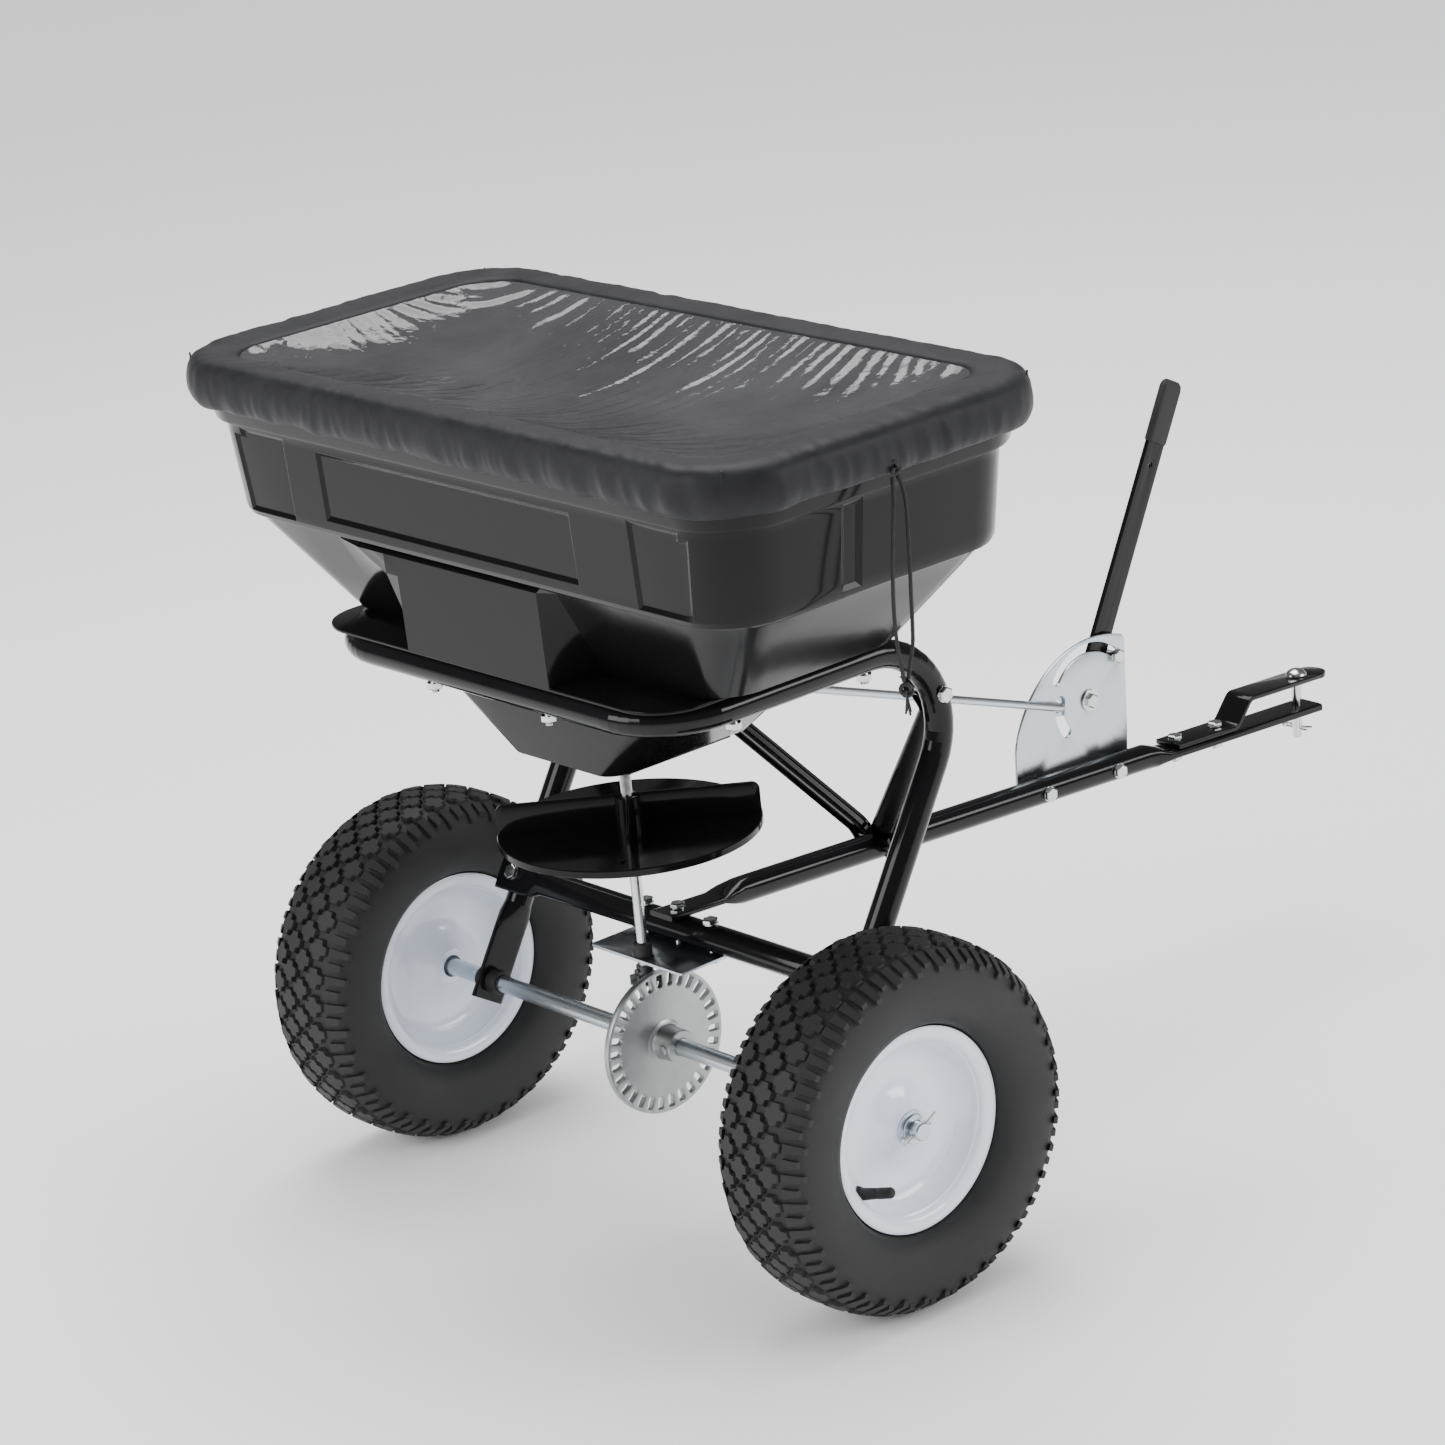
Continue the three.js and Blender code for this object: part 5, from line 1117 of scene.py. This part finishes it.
bm = bmesh.new()
slots = [curved_slot(52, 43.5, 146, 4.8), curved_slot(39.6, 170, 216, 6.3)]
holes = [circle(4.6, 20, (x, 0)) for x in (452, 546)] + [circle(4.6, 20, (PIVOT_X, PIVOT_Z))]
plate(bm, standing(outline), 3, [standing(h) for h in slots + holes], lie=upright)
soften(bm, 0.35, 2, 60)
piece("zinc_control_plate", bm, "root", "zinc_plate", ["control_plate"], placed=DRAWBAR)
print("control plate", PLATE_FRONT - PLATE_REAR, "mm long,", round(ARC_Z + ARC_R + 9), "mm high")

# %% Lever, grip and stop
LEVER = math.radians(65)
lever_dir = Vector((math.cos(LEVER), 0, math.sin(LEVER)))


def lever_blade(bm, reach, angle, width, y, thickness, tail, holes=()):
    lie = Matrix.Translation((PIVOT_X, y, PIVOT_Z)) @ Matrix.Rotation(-angle, 4, "Y") @ along((0, 1, 0),
                                                                                              roll_to=(1, 0,
                                                                                                       0))
    outline = arc(width / 2 + tail, math.pi / 2, 1.5 * math.pi, 14)
    outline += arc(width / 2, -math.pi / 2, math.pi / 2, 14, (reach, 0))
    plate(bm, outline, thickness, [circle(r, 20, (x, 0)) for x, r in holes], lie=lie)


bm = bmesh.new()
lever_blade(bm, 39.6, math.radians(176.7), 20, 16.5, 3, 2, [(0, 4.6), (39.6, 6.3)])
soften(bm, 0.35, 2, 60)
piece("zinc_lever_arm", bm, "lever", "zinc_plate", ["lever_arm"], placed=DRAWBAR)

bm = bmesh.new()
lever_blade(bm, 299, LEVER, 22, 19.8, 5, 1, [(0, 4.6), (232, 2.6)])
soften(bm, 0.9, 3, 60)
piece("flat_lever_bar", bm, "lever", "black_paint", ["lever_bar"], placed=DRAWBAR)

bm = bmesh.new()
middle = Vector((PIVOT_X, 22.3, PIVOT_Z))
grip_stops = []
for reach, grow in ((253.5, -1.6), (254.2, -0.5), (256, 0), (308, 0), (312, -0.8), (314.4, -2.4),
                    (315.3, -4.6)):
    section = bar_section(26 + 2 * grow, 9.8 + 2 * max(grow, -2.4), min(4.4, 4.4 + grow / 2), 5)
    grip_stops.append((middle + lever_dir * reach, lever_dir, section))
morph(bm, grip_stops, Vector((0, 1, 0)).cross(lever_dir))
grip = piece("dipped_lever_grip", bm, "lever", "grip_vinyl", ["lever_grip"], placed=DRAWBAR, smooth=60)

bm = bmesh.new()
stop_at = Vector((PIVOT_X + 52 * math.cos(math.radians(43.5)), 12.7,
                  PIVOT_Z + 52 * math.sin(math.radians(43.5))))
disc(bm, stop_at - Vector((0, 0.9, 0)), (0, 1, 0), 7.2, 0.9, 28)
hexagon(bm, stop_at - Vector((0, 0.9, 0)), (0, -1, 0), 4.1)
disc(bm, stop_at - Vector((0, 0.2, 0)), (0, 1, 0), 4, 11.4, 20)
threaded(bm, stop_at + Vector((0, 11, 0)), (0, 1, 0), 4)
piece("rate_stop_bolt", bm, "rate_stop", "bolt_steel", ["stop_bolt"], placed=DRAWBAR, smooth=28)
print("lever", 310, "mm from pivot to tip")

# %% Hitch pin and clip
PIN_X, STRAP_TOP, CLIP_Z = 809, 32.5, -22
bm = bmesh.new()
lathe(bm, [(0, -31), (3.2, -31), (4.75, -28.6), (4.75, STRAP_TOP + 0.2), (10.2, STRAP_TOP + 0.3),
           (10.6, STRAP_TOP + 0.8), (10.4, STRAP_TOP + 1.8), (8.6, STRAP_TOP + 4.3), (5.2, STRAP_TOP + 6.5),
           (2.2, STRAP_TOP + 7.2), (0, STRAP_TOP + 7.3)], (PIN_X, 0, 0), (0, 0, 1), 48)
piece("domed_hitch_pin", bm, "pin", "bolt_steel", ["hitch_pin"], placed=DRAWBAR, smooth=40)

bm = bmesh.new()
back = PIN_X + 6.8
straight = [(PIN_X, -13, CLIP_Z), (PIN_X, 14, CLIP_Z)]
loop = [(PIN_X + 3.4 - 5.4 * math.cos(t), 15 + 5.0 * math.sin(t),
         CLIP_Z) for t in [math.pi * k / 6 for k in range(1, 6)]]
hook = [(back, 12, CLIP_Z), (back + 0.2, 6, CLIP_Z), (back - 1.2, 0.5, CLIP_Z), (back + 0.4, -4, CLIP_Z),
        (back + 4.5, -9.5, CLIP_Z)]
sweep(bm, stations(straight + loop + hook, 2.4, 4), circle(1.2, 12))
piece("hairpin_clip", bm, "clip", "bolt_steel", ["hitch_clip"], placed=DRAWBAR)
print("hitch pin", 9.5, "mm")

# %% [markdown]
# ## Rain cover
# The cover is a smoky vinyl window sewn into a nylon hem. A drawstring gathers the hem under the hopper's
# lip, so its cloth stands in many small puckers, deepest at the lower edge. The hem is lofted through
# rounded loops from the seam, over the lip and down, and the puckers are noise along the loop.

# %% Gathered hem
COVER_X = 12
EYE, LIP = (154, 328, 40), (190, 379, 74)
SIDE_X, SIDE_Y, TURN = 76, 168, 22  # points along each straight side and round each corner
PUCKER = 1.55  # the gathers are this much deeper than the row values


def even_loop(half_x, half_y, r, steps=(SIDE_X, SIDE_Y, TURN)):
    """A rounded rectangle with the same number of points at every level, with the outward direction."""
    points = []
    for k, (sx, sy) in enumerate(((1, 1), (-1, 1), (-1, -1), (1, -1))):
        centre = Vector((COVER_X + sx * (half_x - r), sy * (half_y - r), 0))
        for i in range(steps[2]):
            t = (k + i / steps[2]) * math.pi / 2
            out = Vector((math.cos(t), math.sin(t), 0))
            points.append((centre + out * r, out))
        t = (k + 1) * math.pi / 2
        out = Vector((math.cos(t), math.sin(t), 0))
        run = Vector((-out.y, out.x, 0)) * 2 * ((half_x - r) if k % 2 == 0 else (half_y - r))
        count = steps[0] if k % 2 == 0 else steps[1]
        points += [(centre + out * r + run * (i / count), out) for i in range(count)]
    return points


def ridges(s, t, seed):
    """Creases of several sizes: sharp crests with soft hollows, between -1 and 1."""
    big = 1 - 2.4 * abs(noise.noise(Vector((s * 0.028, t * 0.9, seed))))
    mid = 1 - 2.4 * abs(noise.noise(Vector((s * 0.075 + t * 1.6, t * 1.3, seed + 7))))
    fine = noise.noise(Vector((s * 0.19 - t * 2.2, t * 2.4, seed + 19)))
    return 0.5 * big + 0.35 * mid + 0.3 * fine


# Each row: how far from the seam to the lip (0 to 1), outward, height, and how deep the puckers are.
HEM_ROWS = [(0.0, 0, 781.5, 0.3), (0.02, 0, 784.2, 0.4), (0.10, 0, 785.6, 0.8), (0.25, 0, 786.4, 1.2),
            (0.42, 0, 786.8, 1.4),
            (0.60, 0, 787.0, 1.5), (0.78, 0, 786.6, 1.6), (0.92, 0, 784.4, 1.6), (1.0, -0.5, 780.5, 1.7),
            (1.0, 1.2, 775.5, 2.0), (1.0, 2.0, 769.5, 2.4), (1.0, 2.2, 763, 2.9), (1.0, 1.6, 756.5, 3.3),
            (1.0, 0.0, 750.5, 3.4), (1.0, -2.6, 746, 3.0), (1.0, -5.2, 743.6, 2.4), (1.0, -5.8, 746.5, 1.6),
            (1.0, -5.0, 752, 0.8)]
bm = bmesh.new()
eye_loop, lip_loop = even_loop(*EYE), even_loop(*LIP)
arc_length = [0.0]
for (a, _), (b, _) in zip(lip_loop, lip_loop[1:]):
    arc_length.append(arc_length[-1] + (b - a).length)
perimeter = arc_length[-1] + (lip_loop[0][0] - lip_loop[-1][0]).length
rings = []
for row, (mix, outward, height, depth) in enumerate(HEM_ROWS):
    ring = []
    for (inner, _), (outer, out), s in zip(eye_loop, lip_loop, arc_length):
        t = row / len(HEM_ROWS)
        turn = 2 * math.pi * s / perimeter
        wrap = Vector((math.cos(turn), math.sin(turn), 0)) * perimeter / (2 * math.pi)
        crease = ridges(wrap.x, t + wrap.y * 0.04, 3.1) * 0.6 + ridges(wrap.y, t - wrap.x * 0.04, 11.7) * 0.6
        # the back edge is drawn tighter and smoother than the front and the right end
        loose = 0.72 + 0.28 * noise.noise(Vector((wrap.x * 0.004, wrap.y * 0.004, 4.0)))
        push = crease * depth * loose * PUCKER
        top = max(0.0, 1 - mix) if mix < 1 else 0.0
        place = inner.lerp(outer, mix) + out * (outward + push * (0.35 if mix < 1 else 1.0))
        wave = 2.6 * noise.noise(Vector((wrap.x * 0.03, wrap.y * 0.03, 9.0))) if row > 10 else 0.0
        lift = push * (0.9 if 0.05 < mix < 1 else 0.35) * (1 - 0.4 * top) + wave
        ring.append(bm.verts.new((place.x, place.y, height + lift)))
    rings.append(ring)
for a, b in zip(rings, rings[1:]):
    for i in range(len(a)):
        bm.faces.new((a[i - 1], a[i], b[i], b[i - 1]))
hem = piece("gathered_hem", bm, "rain_cover", "cover_cloth", ["cover_hem"], smooth=180)
finer = hem.modifiers.new("finer", "SUBSURF")
finer.levels = finer.render_levels = 1

bm = bmesh.new()
for corner_turn in (225, 315, 45, 135):
    t = math.radians(corner_turn)
    out = Vector((math.cos(t), math.sin(t), 0))
    centre = Vector((COVER_X + math.copysign(LIP[0] - LIP[2], out.x), math.copysign(LIP[1] - LIP[2], out.y),
                     0))
    seam = [centre + out * (LIP[2] + o) + Vector((0, 0, h + 0.6)) for m, o, h, _ in HEM_ROWS[7:14]]
    seam = [p + Vector((0, 0, 0.2)) for p in seam]
    sweep(bm, stations(seam, 2, 3), [(x * 1.6, y) for x, y in circle(0.9, 8)])
piece("hem_corner_seams", bm, "rain_cover", "cover_cloth", smooth=60)
print("hem:", len(HEM_ROWS), "rows of", len(lip_loop), "points")

# %% [markdown]
# The window is cut a little larger than the hole in the hem, so it sags and folds. It is a grid pinned
# at its seam and let down under its own weight as cloth.

# %% Vinyl window
ACROSS, ALONG_Y = 64, 128
WINDOW_Z, SLACK = 783.4, 0.022


def window_point(a, b):
    """Maps a square (-1 to 1) onto the rounded eye of the hem."""
    half_x, half_y, r = EYE[0] + 1.5, EYE[1] + 1.5, EYE[2]
    x, y = a * half_x, b * half_y
    past_x, past_y = abs(x) - (half_x - r), abs(y) - (half_y - r)
    if past_x > 0 and past_y > 0:
        reach = math.hypot(past_x, past_y)
        flat = max(past_x, past_y)
        past_x, past_y = past_x * flat / reach, past_y * flat / reach
        x = math.copysign(half_x - r + past_x, x)
        y = math.copysign(half_y - r + past_y, y)
    return x, y


bm = bmesh.new()
grid = []
for i in range(ACROSS + 1):
    row = []
    for j in range(ALONG_Y + 1):
        a, b = 2 * i / ACROSS - 1, 2 * j / ALONG_Y - 1
        x, y = window_point(a, b)
        edge = max(abs(a), abs(b))
        ripple = 1.3 * noise.noise(Vector((x * 0.09, y * 0.09, 2.0))) * (1 - edge) ** 0.3 if edge < 1 else 0.0
        sag = 0.0
        row.append(bm.verts.new((COVER_X + x, y, WINDOW_Z + ripple - sag)))
    grid.append(row)
for i in range(ACROSS):
    for j in range(ALONG_Y):
        bm.faces.new((grid[i][j], grid[i + 1][j], grid[i + 1][j + 1], grid[i][j + 1]))
rim_of_sheet = [i * (ALONG_Y + 1) + j for i in range(ACROSS + 1) for j in range(ALONG_Y + 1)
                if i in (0, ACROSS) or j in (0, ALONG_Y)]
window = piece("vinyl_window", bm, "rain_cover", "cover_vinyl", ["cover_window"], smooth=180, tidy=False)


def let_down(obj, pinned, slack, frames):
    """Drops a pinned sheet as cloth and keeps the shape it comes to."""
    group = obj.vertex_groups.new(name="seam")
    group.add(pinned, 1.0, "REPLACE")
    cloth = obj.modifiers.new("cloth", "CLOTH")
    cloth.settings.quality = 7
    cloth.settings.mass = 0.12
    cloth.settings.tension_stiffness = cloth.settings.compression_stiffness = 25
    cloth.settings.shear_stiffness = 8
    cloth.settings.bending_stiffness = 0.35
    cloth.settings.vertex_group_mass = "seam"
    cloth.settings.shrink_min = -slack
    cloth.collision_settings.use_collision = False
    cloth.point_cache.frame_start, cloth.point_cache.frame_end = 1, frames
    for step in range(1, frames + 1):
        scene.frame_set(step)
    depsgraph = bpy.context.evaluated_depsgraph_get()
    settled = bpy.data.meshes.new_from_object(obj.evaluated_get(depsgraph), depsgraph=depsgraph)
    obj.modifiers.clear()
    obj.vertex_groups.clear()
    obj.data = settled
    scene.frame_set(1)


let_down(window, rim_of_sheet, SLACK, 36)
finer = window.modifiers.new("finer", "SUBSURF")
finer.levels = finer.render_levels = 1
lowest = min((window.matrix_world @ v.co).z for v in window.data.vertices)
print("window sags to", round(lowest, 4), "m")

# %% [markdown]
# ## Drawcord
# The drawstring's two ends leave the hem at the right end of the hopper, hang down its side and are
# knotted together. Each is a round core with two strands laid round it, so that it reads as braid.

# %% Drawcord ends and knots
CORD_D = 4.0
CORD_RUNS = {
    "rear": [(1, -380.6, 743), (-1, -383, 737), (-3, -385, 727), (-6, -386, 712), (-9, -386.3, 692),
             (-12, -386.4, 668), (-14, -386.5, 644), (-14.5, -386.5, 622), (-13.5, -386.5, 604),
             (-11.5, -386.5, 590), (-10, -386.5, 575)],
    "front": [(7, -380.6, 743), (8, -383, 737), (9, -385, 727), (9, -386, 712), (8, -386.3, 692),
              (7, -386.4, 668),
              (5.5, -386.5, 644), (4.5, -386.5, 622), (3, -386.5, 604), (-1, -386.5, 590),
              (-5, -386.5, 575.5)],
}


def smooth_route(points, step):
    """Points every few millimetres along a smooth curve through the given ones."""
    points = [Vector(p) for p in points]
    ends = [points[0] * 2 - points[1], *points, points[-1] * 2 - points[-2]]
    fine = []
    for a, b, c, d in zip(ends, ends[1:], ends[2:], ends[3:]):
        count = max(2, int((c - b).length / step))
        for k in range(count):
            t = k / count
            fine.append(0.5 * (2 * b + (c - a) * t + (2 * a - 5 * b + 4 * c - d) * t * t
                               + (3 * b - a - 3 * c + d) * t ** 3))
    return fine + [points[-1]]


def frames_along(points):
    route = []
    for i, p in enumerate(points):
        before, after = points[max(i - 1, 0)], points[min(i + 1, len(points) - 1)]
        route.append((p, (after - before).normalized()))
    return route


def braided(bm, points, diameter, pitch=5.0):
    route = frames_along(points)
    sweep(bm, route, circle(diameter * 0.40, 12))
    travelled = 0.0
    laid = [[], [], [], []]
    for i, (p, t) in enumerate(route):
        if i:
            travelled += (p - route[i - 1][0]).length
        side = t.cross(Vector((0, 1, 0))).normalized()
        other = t.cross(side)
        for k in range(4):
            sense = 1 if k < 2 else -1
            turn = sense * 2 * math.pi * travelled / pitch + (k % 2) * math.pi + (math.pi / 2 if k > 1 else 0)
            laid[k].append(p + (side * math.cos(turn) + other * math.sin(turn)) * diameter * 0.34)
    for strand in laid:
        sweep(bm, frames_along(strand), circle(diameter * 0.155, 6))


for name, points in CORD_RUNS.items():
    fine = smooth_route(points, 1.1)
    bm = bmesh.new()
    braided(bm, fine, CORD_D)
    piece(f"braided_cord_{name}", bm, "rain_cover", "cord_braid", [f"drawcord_{name}"],
                          tidy=False)


def tied_knot(bm, centre, size, turns):
    """One closed strand wound about a centre, as a tight overhand knot looks from outside."""
    route = []
    for k in range(90):
        t = 2 * math.pi * k / 89
        ring = size * (0.62 + 0.28 * math.cos(3 * t))
        route.append(centre + Vector((ring * math.cos(2 * t), ring * 0.72 * math.sin(3 * t) * 0.9,
                                      ring * 1.05 * math.sin(2 * t) + 0.3 * size * math.cos(turns * t))))
    sweep(bm, frames_along(route), circle(1.9, 10))


bm = bmesh.new()
tied_knot(bm, Vector((-8, -386.5, 566)), 5.6, 3)
for k, (dx, dy, dz) in enumerate(((-2.5, 0.4, -15), (1.5, -0.6, -17), (-0.5, 0.9, -13), (3.2, 0.3, -14.5))):
    tip = [Vector((-8, -386.5, 562)), Vector((-8 + dx * 0.5, -386.5 + dy * 0.5, 562 + dz * 0.5)),
           Vector((-8 + dx, -386.5 + dy, 562 + dz))]
    sweep(bm, frames_along(smooth_route(tip, 2)), circle(1.0, 6))
knot = piece("cord_end_knot", bm, "rain_cover", "cord_braid", ["drawcord_knot"], smooth=80, tidy=False)
bm = bmesh.new()
tied_knot(bm, Vector((4, -380.8, 750)), 5.2, 3)
eyelet_knot = piece("cord_eyelet_knot", bm, "rain_cover", "cord_braid", smooth=80, tidy=False)


def route_length(points):
    return sum((b - a).length for a, b in zip(points, points[1:]))


for name, points in CORD_RUNS.items():
    fine = smooth_route(points, 1.1)
    print(f"{name} cord", round(route_length(fine)), "mm")
